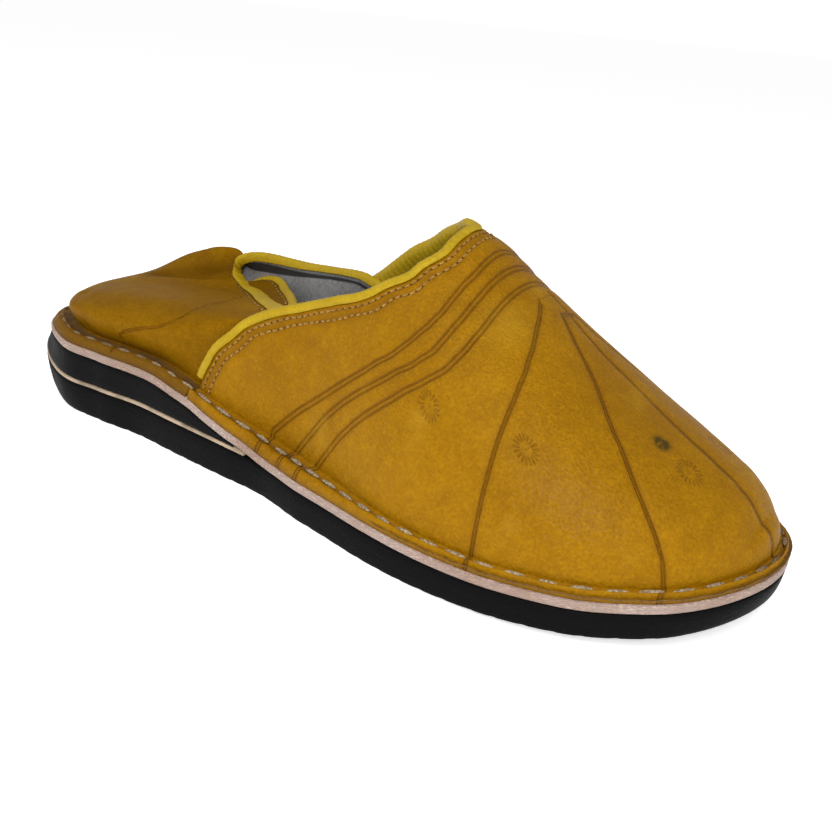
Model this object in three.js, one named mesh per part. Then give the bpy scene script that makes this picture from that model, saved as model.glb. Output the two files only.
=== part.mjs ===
// Babouche slipper, left foot, with its heel quarter trodden down.
// Millimetres, +Z up, +X towards the toe. The wearer's right-hand side of the shoe is "near" (-Y).
import * as THREE from 'three';

// Overall sizes of the sole
const LENGTH = 284;
const BALL_WIDTH = 106;
const HEEL_WIDTH = 70.5;
const HEEL_END_RADIUS = 19;
const TOE_END_RADIUS = 38;

// Layers of the sole, and how far it lifts at its ends
const OUTSOLE_THICKNESS = 10.9;
const STRIPE_THICKNESS = 1.3;
const WEDGE_RISE = 11.2;
const MIDSOLE_THICKNESS = 2.8;
const TOE_SPRING = 7;
const HEEL_LIFT = 2.5;
const RUBBER_EDGE = 0.7;
const RUBBER_STEP = 0.2;
const HEEL_FLARE = 3;
const END_ROUND = 7;
const MIN_WEDGE = 0.5;

// Leather of the upper
const VAMP_WALL = 2;
const QUARTER_WALL = 1.8;
const FLANGE_WIDTH = 8.5;
const FLANGE_SETBACK = 0.5;
const INSTEP_RISE = 74;
const QUARTER_RISE = 30;
const TOE_WALL_RADIUS = 11;
const TUCK_LENGTH = 13;
const SEAM_GAP = 1.2;
const BEND_RUN = 0.7;
const INSOLE_THICKNESS = 2.2;
const INSOLE_INSET = 5.2;
const BINDING_WIDTH = 2.6;
const BINDING_THICKNESS = 2.8;
const BINDING_PROUD = 0.5;

// Room left between pieces that meet, between curved walls that lap, and beside the folded edge
const CLEARANCE = 0.3;
const LAP_CLEARANCE = 0.55;
const FOLD_CLEARANCE = 0.8;

// Outline of the sole: half widths as shares of the width that each row follows
const OUTLINE = [
  { along: 0.10, follows: HEEL_WIDTH, near: 0.89, far: 0.89 },
  { along: 0.19, follows: HEEL_WIDTH, near: 1.00, far: 1.00 },
  { along: 0.30, follows: HEEL_WIDTH, near: 1.02, far: 1.05 },
  { along: 0.42, follows: BALL_WIDTH, near: 0.735, far: 0.75 },
  { along: 0.54, follows: BALL_WIDTH, near: 0.86, far: 0.86 },
  { along: 0.64, follows: BALL_WIDTH, near: 0.97, far: 0.95 },
  { along: 0.74, follows: BALL_WIDTH, near: 1.015, far: 0.975 },
  { along: 0.83, follows: BALL_WIDTH, near: 0.965, far: 0.91 },
  { along: 0.90, follows: BALL_WIDTH, near: 0.815, far: 0.755 },
  { along: 0.955, follows: BALL_WIDTH, near: 0.58, far: 0.57 },
];

// Heights of the sole: lift and spring are shares of HEEL_LIFT and TOE_SPRING,
// rubber of OUTSOLE_THICKNESS, and wedge of WEDGE_RISE above the outsole
const SOLE_HEIGHTS = [
  { along: 0.00, lift: 1.0, spring: 0.00, rubber: 1.00, wedge: 0.50 },
  { along: 0.04, lift: 0.5, spring: 0.00, rubber: 1.00, wedge: 0.80 },
  { along: 0.08, lift: 0.1, spring: 0.00, rubber: 1.00, wedge: 0.96 },
  { along: 0.12, lift: 0.0, spring: 0.00, rubber: 1.00, wedge: 1.00 },
  { along: 0.25, lift: 0.0, spring: 0.00, rubber: 1.00, wedge: 0.97 },
  { along: 0.33, lift: 0.0, spring: 0.00, rubber: 1.00, wedge: 0.78 },
  { along: 0.38, lift: 0.0, spring: 0.00, rubber: 0.99, wedge: 0.47 },
  { along: 0.43, lift: 0.0, spring: 0.00, rubber: 0.96, wedge: 0.20 },
  { along: 0.50, lift: 0.0, spring: 0.00, rubber: 0.88, wedge: 0.00 },
  { along: 0.64, lift: 0.0, spring: 0.00, rubber: 0.83, wedge: 0.00 },
  { along: 0.70, lift: 0.0, spring: 0.03, rubber: 0.78, wedge: 0.00 },
  { along: 0.80, lift: 0.0, spring: 0.18, rubber: 0.72, wedge: 0.00 },
  { along: 0.92, lift: 0.0, spring: 0.50, rubber: 0.68, wedge: 0.00 },
  { along: 1.00, lift: 0.0, spring: 1.00, rubber: 0.67, wedge: 0.00 },
];

// Side of the outsole from its tread up: shares of its thickness and of how far its edge is eased
const OUTSOLE_SIDE = [
  { up: 0.00, eased: 1.00 },
  { up: 0.10, eased: 0.60 },
  { up: 0.35, eased: 0.25 },
  { up: 1.00, eased: 0.00 },
];

// Ends of the rubber: shares of HEEL_FLARE and END_ROUND
const RUBBER_ENDS = [
  { along: 0.00, flare: 1.00, round: 1.00 },
  { along: 0.03, flare: 0.80, round: 0.75 },
  { along: 0.08, flare: 0.45, round: 0.35 },
  { along: 0.15, flare: 0.15, round: 0.10 },
  { along: 0.22, flare: 0.00, round: 0.00 },
  { along: 0.90, flare: 0.00, round: 0.00 },
  { along: 1.00, flare: 0.00, round: 0.25 },
];

// Flange of the upper on the midsole, as a share of FLANGE_WIDTH
const FLANGE = [
  { along: 0.00, width: 0.80 },
  { along: 0.20, width: 0.80 },
  { along: 0.34, width: 0.65 },
  { along: 0.42, width: 0.85 },
  { along: 0.50, width: 1.00 },
  { along: 0.60, width: 0.70 },
  { along: 0.70, width: 0.46 },
  { along: 0.85, width: 0.40 },
  { along: 1.00, width: 0.40 },
];

// Sections of the vamp across the foot: rise is a share of INSTEP_RISE over the flange,
// and arch sets the section, from 1 for a gable to 2 for an ellipse
const VAMP_SECTIONS = [
  { along: 0.20, rise: 1.07, arch: 1.75 },
  { along: 0.35, rise: 1.08, arch: 1.75 },
  { along: 0.47, rise: 1.095, arch: 1.75 },
  { along: 0.545, rise: 1.055, arch: 1.75 },
  { along: 0.623, rise: 0.997, arch: 1.80 },
  { along: 0.687, rise: 0.851, arch: 1.89 },
  { along: 0.757, rise: 0.677, arch: 1.98 },
  { along: 0.827, rise: 0.508, arch: 2.08 },
  { along: 0.88, rise: 0.40, arch: 2.13 },
  { along: 0.922, rise: 0.316, arch: 2.13 },
  { along: 0.951, rise: 0.235, arch: 2.13 },
  { along: 0.972, rise: 0.150, arch: 2.13 },
];

// Edge of the throat over the vamp: degrees round the section from the near rim
const THROAT = [
  { turn: 0, along: 0.350 },
  { turn: 10, along: 0.365 },
  { turn: 20, along: 0.394 },
  { turn: 30, along: 0.443 },
  { turn: 40, along: 0.522 },
  { turn: 50, along: 0.581 },
  { turn: 60, along: 0.612 },
  { turn: 75, along: 0.628 },
  { turn: 90, along: 0.629 },
  { turn: 105, along: 0.603 },
  { turn: 120, along: 0.561 },
  { turn: 135, along: 0.502 },
  { turn: 150, along: 0.438 },
  { turn: 160, along: 0.396 },
  { turn: 170, along: 0.365 },
  { turn: 180, along: 0.350 },
];

// Ribs of the heel quarter, from the near side round the heel to the far side. Each starts at
// its foot on the sole's outline and passes a wall point and a brow point to the top edge.
// Columns are shares: along of LENGTH, side of half HEEL_WIDTH, up of QUARTER_RISE over the seat.
const QUARTER_RIBS = [
  {
    side: 'near', foot: 0.270,
    wall: [0.295, -0.85, 0.24], brow: [0.355, -0.80, 0.64], edge: [0.428, -0.60, 0.86],
  },
  {
    side: 'near', foot: 0.210,
    wall: [0.225, -0.85, 0.26], brow: [0.290, -0.70, 0.60], edge: [0.402, -0.36, 0.81],
  },
  {
    side: 'near', foot: 0.140,
    wall: [0.150, -0.82, 0.27], brow: [0.215, -0.56, 0.55], edge: [0.372, -0.10, 0.755],
  },
  {
    side: 'near', foot: 0.075,
    wall: [0.085, -0.62, 0.23], brow: [0.150, -0.34, 0.48], edge: [0.345, 0.13, 0.70],
  },
  {
    side: 'near', foot: 0.000,
    wall: [0.034, 0.00, 0.19], brow: [0.110, 0.04, 0.42], edge: [0.318, 0.33, 0.64],
  },
  {
    side: 'far', foot: 0.065,
    wall: [0.062, 0.58, 0.30], brow: [0.105, 0.58, 0.50], edge: [0.293, 0.48, 0.59],
  },
  {
    side: 'far', foot: 0.120,
    wall: [0.115, 0.82, 0.60], brow: [0.150, 0.75, 0.76], edge: [0.273, 0.596, 0.56],
  },
  {
    side: 'far', foot: 0.160,
    wall: [0.160, 0.87, 0.70], brow: [0.190, 0.80, 0.86], edge: [0.248, 0.687, 0.617],
  },
  {
    side: 'far', foot: 0.195,
    wall: [0.195, 0.89, 0.66], brow: [0.207, 0.86, 0.86], edge: [0.2335, 0.755, 0.700],
  },
  {
    side: 'far', foot: 0.225,
    wall: [0.222, 0.905, 0.52], brow: [0.222, 0.905, 0.73], edge: [0.236, 0.796, 0.803],
  },
  {
    side: 'far', foot: 0.250,
    wall: [0.245, 0.91, 0.40], brow: [0.244, 0.908, 0.68], edge: [0.256, 0.840, 0.845],
  },
  {
    side: 'far', foot: 0.290,
    wall: [0.295, 0.89, 0.28], brow: [0.307, 0.885, 0.60], edge: [0.3275, 0.86, 0.84],
  },
];

// Quarter's edge where it runs under the vamp, in degrees round the vamp's section
const QUARTER_TOP_TURN = 33;

// Where the heel seat is level
const HEEL_SEAT_ALONG = 0.15;

// Steps along the surfaces
const TURN_STEP = Math.PI / 56;
const VAMP_ROWS = 30;
const VAMP_COLUMNS = 32;
const RIB_STEPS = 9;
const RIB_FILL = 3;
const SEAM_RIBS = 5;
const BINDING_SIDES = 8;
const FIRST_TURN = THREE.MathUtils.degToRad(4);
const MERGE_DISTANCE = 1e-3;

// A smooth curve through table rows that never swings past them
function smoothCurve(rows, from, to) {
  const xs = rows.map((row) => row[from]);
  const ys = rows.map((row) => row[to]);
  const slopes = xs.slice(1).map((x, i) => (ys[i + 1] - ys[i]) / (x - xs[i]));
  const tangents = xs.map((_, i) => {
    if (i === 0) return slopes[0];
    if (i === xs.length - 1) return slopes[i - 1];
    const before = slopes[i - 1];
    const after = slopes[i];
    return before * after <= 0 ? 0 : (2 * before * after) / (before + after);
  });
  return (x) => {
    const inside = THREE.MathUtils.clamp(x, xs[0], xs[xs.length - 1]);
    let i = 0;
    while (i < xs.length - 2 && inside > xs[i + 1]) i += 1;
    const step = xs[i + 1] - xs[i];
    const t = (inside - xs[i]) / step;
    const a = ys[i] + t * tangents[i] * step;
    const b = ys[i + 1] - (1 - t) * tangents[i + 1] * step;
    const ease = t * t * (3 - 2 * t);
    return a * (1 - ease) + b * ease;
  };
}

// Outline of the sole. A turn of 0 is the back of the heel and PI the tip of the toe.
const alongAtTurn = (turn) => (1 - Math.cos(turn)) / 2;
const turnAtAlong = (along) => Math.acos(THREE.MathUtils.clamp(1 - 2 * along, -1, 1));
const endShape = (radius) => Math.sqrt((radius * LENGTH) / 2);

function halfWidthCurve(side) {
  const rows = OUTLINE.map((row) => {
    const turn = turnAtAlong(row.along);
    return { turn, shape: (row[side] * row.follows) / 2 / Math.sin(turn) };
  });
  rows.unshift({ turn: 0, shape: endShape(HEEL_END_RADIUS) });
  rows.push({ turn: Math.PI, shape: endShape(TOE_END_RADIUS) });
  const shape = smoothCurve(rows, 'turn', 'shape');
  return (turn) => Math.sin(turn) * shape(turn);
}

const HALF_WIDTH = { near: halfWidthCurve('near'), far: halfWidthCurve('far') };
const SIGN = { near: -1, far: 1 };

function outlinePoint(side, turn, inset) {
  const step = 1e-3;
  const width = HALF_WIDTH[side];
  const x = LENGTH * alongAtTurn(turn);
  const dx = LENGTH * (alongAtTurn(turn + step) - alongAtTurn(turn - step));
  const dy = width(turn + step) - width(turn - step);
  const run = Math.hypot(dx, dy);
  const y = width(turn) - (inset * dx) / run;
  return { x: x + (inset * dy) / run, y: SIGN[side] * Math.max(y, 0) };
}

// Foot of the upper's wall, inside the flange and any further inset
const flangeShare = smoothCurve(FLANGE, 'along', 'width');
function footPoint(side, turn, further = 0) {
  return outlinePoint(side, turn, FLANGE_WIDTH * flangeShare(alongAtTurn(turn)) + further);
}

// The turn at which the foot of the wall reaches x
function footTurn(side, x, further = 0) {
  let low = 0;
  let high = Math.PI;
  for (let i = 0; i < 40; i += 1) {
    const middle = (low + high) / 2;
    if (footPoint(side, middle, further).x < x) low = middle;
    else high = middle;
  }
  return (low + high) / 2;
}

// Heights of the sole's layers at x
const heightColumn = (name) => {
  const curve = smoothCurve(SOLE_HEIGHTS, 'along', name);
  return (x) => curve(x / LENGTH);
};
const liftShare = heightColumn('lift');
const springShare = heightColumn('spring');
const rubberShare = heightColumn('rubber');
const wedgeShare = heightColumn('wedge');

const treadZ = (x) => HEEL_LIFT * liftShare(x) + TOE_SPRING * springShare(x);
const outsoleTopZ = (x) => treadZ(x) + OUTSOLE_THICKNESS * rubberShare(x);
const stripeBottomZ = (x) => outsoleTopZ(x) + CLEARANCE;
const stripeTopZ = (x) => stripeBottomZ(x) + STRIPE_THICKNESS;
const wedgeBottomZ = (x) => stripeTopZ(x) + CLEARANCE;
const wedgeTopZ = (x) => outsoleTopZ(x) + WEDGE_RISE * wedgeShare(x);
const midsoleBottomZ = (x) => wedgeTopZ(x) + CLEARANCE;
const midsoleTopZ = (x) => midsoleBottomZ(x) + MIDSOLE_THICKNESS;

// Where the wedge has thinned to a given rise, in front of the heel
function wedgeEndX(rise) {
  let low = 0.2 * LENGTH;
  let high = 0.5 * LENGTH;
  for (let i = 0; i < 40; i += 1) {
    const middle = (low + high) / 2;
    if (WEDGE_RISE * wedgeShare(middle) > rise) low = middle;
    else high = middle;
  }
  return low;
}

// Height of something that lies on the midsole, measured square to its slope
function aboveMidsole(x, distance) {
  const step = 0.5;
  const slope = (midsoleTopZ(x + step) - midsoleTopZ(x - step)) / (2 * step);
  return midsoleTopZ(x) + distance * Math.hypot(1, slope);
}

// Merges equal corners and drops collapsed faces
function mergeCorners(corners, faces) {
  const seen = new Map();
  const points = [];
  const index = corners.map((corner) => {
    const key = corner.toArray().map((value) => Math.round(value / MERGE_DISTANCE)).join();
    if (!seen.has(key)) {
      seen.set(key, points.length);
      points.push(corner);
    }
    return seen.get(key);
  });
  const kept = faces
    .map((face) => face.map((corner) => index[corner]))
    .filter(([a, b, c]) => a !== b && b !== c && c !== a);
  return { points, kept };
}

// One closed body, its faces turned outwards
function bodyGeometry(corners, faces) {
  const { points, kept } = mergeCorners(corners, faces);
  const volume = kept.reduce((sum, [a, b, c]) => (
    sum + points[a].dot(new THREE.Vector3().crossVectors(points[b], points[c]))
  ), 0);
  const turned = volume < 0 ? kept.map(([a, b, c]) => [a, c, b]) : kept;
  const geometry = new THREE.BufferGeometry();
  const values = points.flatMap((point) => point.toArray());
  geometry.setAttribute('position', new THREE.Float32BufferAttribute(values, 3));
  geometry.setIndex(turned.flat());
  geometry.computeVertexNormals();
  return geometry;
}

// Stacks closed rings of equal length into a body, with a strip across each end
function stackRings(rings) {
  const count = rings[0].length;
  const corners = rings.flat();
  const faces = [];
  for (let ring = 0; ring < rings.length - 1; ring += 1) {
    for (let i = 0; i < count; i += 1) {
      const next = (i + 1) % count;
      const a = ring * count + i;
      const b = ring * count + next;
      const c = a + count;
      const d = b + count;
      faces.push([a, b, d], [a, d, c]);
    }
  }
  const cap = (start, flip) => {
    for (let i = 0; i < Math.floor(count / 2); i += 1) {
      const a = start + i;
      const b = start + i + 1;
      const c = start + ((count - i) % count);
      const d = start + count - i - 1;
      const pair = [[a, b, d], [a, d, c]];
      pair.forEach(([p, q, r]) => faces.push(flip ? [p, r, q] : [p, q, r]));
    }
  };
  cap(0, true);
  cap((rings.length - 1) * count, false);
  return bodyGeometry(corners, faces);
}

// One ring of a sole layer, from the heel round the near side and back along the far side
function soleRing(frontX, insetAt, zAt) {
  const whole = frontX >= LENGTH;
  const lastTurn = whole ? Math.PI : turnAtAlong(frontX / LENGTH);
  const turns = [];
  for (let step = 0; step * TURN_STEP < lastTurn - TURN_STEP / 3; step += 1) turns.push(step * TURN_STEP);
  turns.push(lastTurn);
  const place = (side, turn) => {
    const point = outlinePoint(side, turn, insetAt(alongAtTurn(turn)));
    const x = whole ? point.x : Math.min(point.x, frontX);
    return new THREE.Vector3(x, point.y, zAt(x));
  };
  const near = turns.map((turn) => place('near', turn));
  const far = turns.slice(1, whole ? -1 : undefined).map((turn) => place('far', turn));
  return near.concat(far.reverse());
}

const flareShare = smoothCurve(RUBBER_ENDS, 'along', 'flare');
const roundShare = smoothCurve(RUBBER_ENDS, 'along', 'round');
const rubberInset = (along) => RUBBER_STEP - HEEL_FLARE * flareShare(along);

// Gives an open sheet its thickness, on the side away from its normals
function thickenSheet(corners, faces, thickness) {
  const { points, kept } = mergeCorners(corners, faces);
  const normals = points.map(() => new THREE.Vector3());
  kept.forEach(([a, b, c]) => {
    const normal = new THREE.Vector3()
      .subVectors(points[b], points[a])
      .cross(new THREE.Vector3().subVectors(points[c], points[a]));
    [a, b, c].forEach((corner) => normals[corner].add(normal));
  });
  const count = points.length;
  const inner = points.map((point, i) => (
    point.clone().addScaledVector(normals[i].normalize(), -thickness)
  ));
  const all = kept.concat(kept.map(([a, b, c]) => [a + count, c + count, b + count]));
  const edges = new Set();
  kept.forEach(([a, b, c]) => [[a, b], [b, c], [c, a]].forEach(([p, q]) => edges.add(`${p},${q}`)));
  kept.forEach(([a, b, c]) => [[a, b], [b, c], [c, a]].forEach(([p, q]) => {
    if (edges.has(`${q},${p}`)) return;
    all.push([q, p, p + count], [q, p + count, q + count]);
  }));
  return bodyGeometry(points.concat(inner), all);
}

// Faces of a grid of rows, turned so that their normals follow rows x columns
function gridFaces(rows, columns) {
  const faces = [];
  for (let i = 0; i < rows - 1; i += 1) {
    for (let j = 0; j < columns - 1; j += 1) {
      const a = i * columns + j;
      const b = a + 1;
      const c = a + columns;
      const d = c + 1;
      faces.push([a, c, d], [a, d, b]);
    }
  }
  return faces;
}

// The vamp as a surface: x along the shoe, turn round the section from the near rim
const riseShare = smoothCurve(VAMP_SECTIONS, 'along', 'rise');
const archShape = smoothCurve(VAMP_SECTIONS, 'along', 'arch');
const throatShare = smoothCurve(THROAT, 'turn', 'along');
const vampTipX = footPoint('near', Math.PI).x;
const flangeTopZ = (x) => aboveMidsole(x, CLEARANCE + VAMP_WALL);
const throatX = (turn) => LENGTH * throatShare(THREE.MathUtils.radToDeg(turn));

function vampRise(x) {
  const start = vampTipX - TOE_WALL_RADIUS;
  const part = THREE.MathUtils.clamp((x - start) / TOE_WALL_RADIUS, 0, 1);
  const roundOff = (1 - part ** 2.5) ** 0.4;
  return INSTEP_RISE * riseShare(x / LENGTH) * roundOff;
}

function vampPoint(x, turn) {
  const power = 2 / archShape(x / LENGTH);
  const side = turn < Math.PI / 2 ? 'near' : 'far';
  const width = Math.abs(footPoint(side, footTurn(side, Math.min(x, vampTipX))).y);
  const across = Math.abs(Math.cos(turn)) ** power;
  const up = Math.max(Math.sin(turn), 0) ** power;
  return new THREE.Vector3(x, SIGN[side] * width * across, flangeTopZ(x) + vampRise(x) * up);
}

// A point under the vamp's outer face, square to it
function underVamp(x, turn, depth) {
  const alongStep = new THREE.Vector3().subVectors(vampPoint(x + 0.5, turn), vampPoint(x - 0.5, turn));
  const turnStep = new THREE.Vector3().subVectors(vampPoint(x, turn + 0.02), vampPoint(x, turn - 0.02));
  const normal = alongStep.cross(turnStep).normalize();
  const point = vampPoint(x, turn);
  if (normal.dot(new THREE.Vector3(0, point.y, Math.abs(point.y))) < 0) normal.negate();
  return point.addScaledVector(normal, -depth);
}

// Flange of the vamp beside the section at x: outer edge, middle and bend
function flangePoints(side, x) {
  const turn = footTurn(side, Math.min(x, vampTipX));
  const width = FLANGE_WIDTH * flangeShare(alongAtTurn(turn));
  const places = [[FLANGE_SETBACK, 0], [width * 0.6, 0], [width - BEND_RUN, BEND_RUN / 3]];
  return places.map(([inset, up]) => {
    const point = outlinePoint(side, turn, inset);
    return new THREE.Vector3(point.x, point.y, flangeTopZ(point.x) + up);
  });
}

function vampSection(share) {
  const xAt = (turn) => throatX(turn) + (vampTipX - throatX(turn)) * share;
  const section = flangePoints('near', xAt(0));
  for (let j = 0; j <= VAMP_COLUMNS; j += 1) {
    const turn = THREE.MathUtils.lerp(FIRST_TURN, Math.PI - FIRST_TURN, j / VAMP_COLUMNS);
    section.push(vampPoint(xAt(turn), turn));
  }
  return section.concat(flangePoints('far', xAt(Math.PI)).reverse());
}

function vampGeometry() {
  const rows = [];
  for (let i = 0; i <= VAMP_ROWS; i += 1) rows.push(vampSection(1 - (1 - i / VAMP_ROWS) ** 2));
  return thickenSheet(rows.flat(), gridFaces(rows.length, rows[0].length), VAMP_WALL);
}

// The quarter. Its foot stands inside the vamp's wall, and its flange fills the rim behind the vamp.
const QUARTER_INSET = VAMP_WALL + LAP_CLEARANCE;
const QUARTER_TOP = THREE.MathUtils.degToRad(QUARTER_TOP_TURN);
const throatFootX = throatX(0);
const quarterSeatZ = (x) => aboveMidsole(x, CLEARANCE + QUARTER_WALL);
const onFar = (side, turn) => (side === 'far' ? Math.PI - turn : turn);

const heelSeatZ = quarterSeatZ(HEEL_SEAT_ALONG * LENGTH);
const sharePoint = ([along, side, up]) => (
  new THREE.Vector3(along * LENGTH, (side * HEEL_WIDTH) / 2, heelSeatZ + up * QUARTER_RISE)
);

const quarterBackX = footPoint('near', 0, QUARTER_INSET).x;
const quarterTurn = (side, x) => (x <= quarterBackX ? 0 : footTurn(side, x, QUARTER_INSET));

function quarterFoot(side, x, zAt) {
  const point = footPoint(side, quarterTurn(side, x), QUARTER_INSET);
  return new THREE.Vector3(point.x, point.y, zAt(point.x));
}

function quarterRim(side, x) {
  const point = outlinePoint(side, quarterTurn(side, x), FLANGE_SETBACK);
  return new THREE.Vector3(point.x, point.y, quarterSeatZ(point.x));
}

// A rib beside the throat keeps to the vamp's own section, forward or back of its edge
function seamRib(side, ahead) {
  const footX = throatFootX + ahead;
  const seat = ahead < -CLEARANCE ? quarterSeatZ : (x) => aboveMidsole(x, CLEARANCE);
  const points = [quarterFoot(side, footX, seat)];
  for (let j = 0; j < RIB_STEPS; j += 1) {
    const turn = onFar(side, THREE.MathUtils.lerp(FIRST_TURN, QUARTER_TOP, j / (RIB_STEPS - 1)));
    points.push(underVamp(throatX(turn) + ahead, turn, VAMP_WALL + LAP_CLEARANCE));
  }
  return { side, points, flanged: ahead < -CLEARANCE };
}

function openRib({ side, foot, wall, brow, edge }) {
  const base = quarterFoot(side, foot * LENGTH, quarterSeatZ);
  const curve = new THREE.CatmullRomCurve3(
    [base, sharePoint(wall), sharePoint(brow), sharePoint(edge)],
    false,
    'centripetal',
  );
  return { side, points: curve.getPoints(RIB_STEPS), flanged: true };
}

function quarterRibs() {
  const aheads = [TUCK_LENGTH, TUCK_LENGTH / 2, -CLEARANCE, -SEAM_GAP, -SEAM_GAP - BINDING_WIDTH];
  return [
    ...aheads.map((ahead) => seamRib('near', ahead)),
    ...QUARTER_RIBS.map(openRib),
    ...aheads.map((ahead) => seamRib('far', ahead)).reverse(),
  ];
}

// Rows of the quarter's surface: every rib, and the rows that fill the spaces between them
function quarterRows() {
  const ribs = quarterRibs();
  const curves = ribs[0].points.map((_, j) => (
    new THREE.CatmullRomCurve3(ribs.map((rib) => rib.points[j]), false, 'centripetal')
  ));
  return ribs.flatMap((rib, k) => {
    const next = ribs[k + 1];
    const fills = next && rib.flanged && next.flanged ? RIB_FILL : 1;
    return Array.from({ length: fills }, (_, fill) => {
      const place = k + fill / fills;
      const wall = fill === 0
        ? rib.points
        : curves.map((curve) => curve.getPoint(place / (ribs.length - 1)));
      const side = wall[0].y < 0 ? 'near' : 'far';
      const rim = rib.flanged ? quarterRim(side, wall[0].x) : wall[0];
      const open = place >= SEAM_RIBS - 1 && place <= ribs.length - SEAM_RIBS;
      return { points: [rim, ...wall], open };
    });
  });
}

function quarterGeometry() {
  const rows = quarterRows().map(({ points }) => points).reverse();
  return thickenSheet(rows.flat(), gridFaces(rows.length, rows[0].length), QUARTER_WALL);
}

// A bead of binding along a row of edge frames: a point, the way out of the sheet and its normal
function beadGeometry(frames, wall, gap) {
  const centres = frames.map(({ point, out, normal }) => (
    point.clone()
      .addScaledVector(out, gap + BINDING_WIDTH / 2)
      .addScaledVector(normal, -wall / 2 + BINDING_PROUD)
  ));
  const rings = centres.map((centre, i) => {
    const before = centres[Math.max(i - 1, 0)];
    const after = centres[Math.min(i + 1, centres.length - 1)];
    const forward = new THREE.Vector3().subVectors(after, before).normalize();
    const { normal } = frames[i];
    const up = normal.clone().addScaledVector(forward, -normal.dot(forward)).normalize();
    const across = new THREE.Vector3().crossVectors(forward, up);
    const ring = [];
    for (let j = 0; j < BINDING_SIDES; j += 1) {
      const angle = (2 * Math.PI * (j + 0.5)) / BINDING_SIDES;
      ring.push(centre.clone()
        .addScaledVector(up, (Math.sin(angle) * BINDING_THICKNESS) / 2)
        .addScaledVector(across, (Math.cos(angle) * BINDING_WIDTH) / 2));
    }
    return ring;
  });
  return stackRings(rings);
}

// Edge frames along the throat, from the near rim over the instep to the far rim
function throatFrames() {
  const frames = [];
  for (let step = 0; step <= VAMP_COLUMNS; step += 1) {
    const turn = THREE.MathUtils.lerp(FIRST_TURN, Math.PI - FIRST_TURN, step / VAMP_COLUMNS);
    const point = vampPoint(throatX(turn), turn);
    const normal = point.clone().sub(underVamp(throatX(turn), turn, 1));
    const small = 0.01;
    const tangent = vampPoint(throatX(turn + small), turn + small)
      .sub(vampPoint(throatX(turn - small), turn - small));
    const out = tangent.cross(normal).normalize();
    if (out.x > 0) out.negate();
    frames.push({ point, out, normal });
  }
  return frames;
}

// Edge frames along the quarter's top, between the two ends that run under the vamp
function quarterFrames(rows) {
  return rows.slice(2, -2).map((row, i) => {
    const point = row[row.length - 1];
    const inner = row[row.length - 2];
    const along = rows[i + 3][row.length - 1].clone().sub(rows[i + 1][row.length - 1]).normalize();
    const out = point.clone().sub(inner);
    out.addScaledVector(along, -out.dot(along)).normalize();
    const normal = new THREE.Vector3().crossVectors(out, along).normalize();
    return { point, out, normal };
  });
}

const leather = (color) => new THREE.MeshStandardMaterial({ color, roughness: 0.5, metalness: 0 });
const rubber = (color) => new THREE.MeshStandardMaterial({ color, roughness: 0.75, metalness: 0 });

function addPiece(group, name, geometry, material) {
  const mesh = new THREE.Mesh(geometry, material);
  mesh.name = name;
  group.add(mesh);
}

const openRows = quarterRows().filter(({ open }) => open).map(({ points }) => points);
const openEdge = quarterFrames(openRows);

const shoe = new THREE.Group();

addPiece(shoe, 'outsole', stackRings(OUTSOLE_SIDE.map(({ up, eased }) => soleRing(
  LENGTH,
  (along) => rubberInset(along) + eased * (RUBBER_EDGE + END_ROUND * roundShare(along)),
  (x) => THREE.MathUtils.lerp(treadZ(x), outsoleTopZ(x), up),
))), rubber(0x1b1b20));

const stripeFront = wedgeEndX(CLEARANCE + STRIPE_THICKNESS);
addPiece(shoe, 'heel_stripe', stackRings([stripeBottomZ, stripeTopZ].map((z) => (
  soleRing(stripeFront, rubberInset, z)
))), rubber(0xc9a883));

const wedgeFront = wedgeEndX(2 * CLEARANCE + STRIPE_THICKNESS + MIN_WEDGE);
addPiece(shoe, 'heel_wedge', stackRings([
  soleRing(wedgeFront, rubberInset, wedgeBottomZ),
  soleRing(wedgeFront, () => RUBBER_STEP, wedgeTopZ),
]), rubber(0x1b1b20));

addPiece(shoe, 'midsole', stackRings([midsoleBottomZ, midsoleTopZ].map((z) => (
  soleRing(LENGTH, () => 0, z)
))), leather(0xbf9d96));

const insoleInset = (along) => FLANGE_WIDTH * flangeShare(along) + INSOLE_INSET;
addPiece(shoe, 'insole', stackRings([CLEARANCE, CLEARANCE + INSOLE_THICKNESS].map((lift) => (
  soleRing(LENGTH, insoleInset, (x) => aboveMidsole(x, lift))
))), leather(0x85858a));

addPiece(shoe, 'vamp', vampGeometry(), leather(0xa87a16));
addPiece(shoe, 'quarter', quarterGeometry(), leather(0x8a6208));
addPiece(shoe, 'vamp_binding', beadGeometry(throatFrames(), VAMP_WALL, LAP_CLEARANCE), leather(0xbea52d));
addPiece(shoe, 'quarter_binding', beadGeometry(openEdge, QUARTER_WALL, FOLD_CLEARANCE), leather(0xbea52d));

// Origin at the middle of the bounding box, on the floor
const box = new THREE.Box3().setFromObject(shoe);
const centre = box.getCenter(new THREE.Vector3());
shoe.position.set(-centre.x, -centre.y, -box.min.z);
shoe.updateMatrixWorld(true);

export default shoe;
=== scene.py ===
# %% [markdown]
# # A leather babouche
#
# The real slipper is a soft upper sewn down on a rubber sole. The solids from the CAD model give
# its place and size. This lesson dresses them: leather with grain and tooled lines, rolled
# bindings, two kinds of stitch, a fibrous cut edge and worn rubber.

# %% Load the frame
import math

import bmesh
import bpy
import numpy as np
from mathutils import Matrix, Vector


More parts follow.
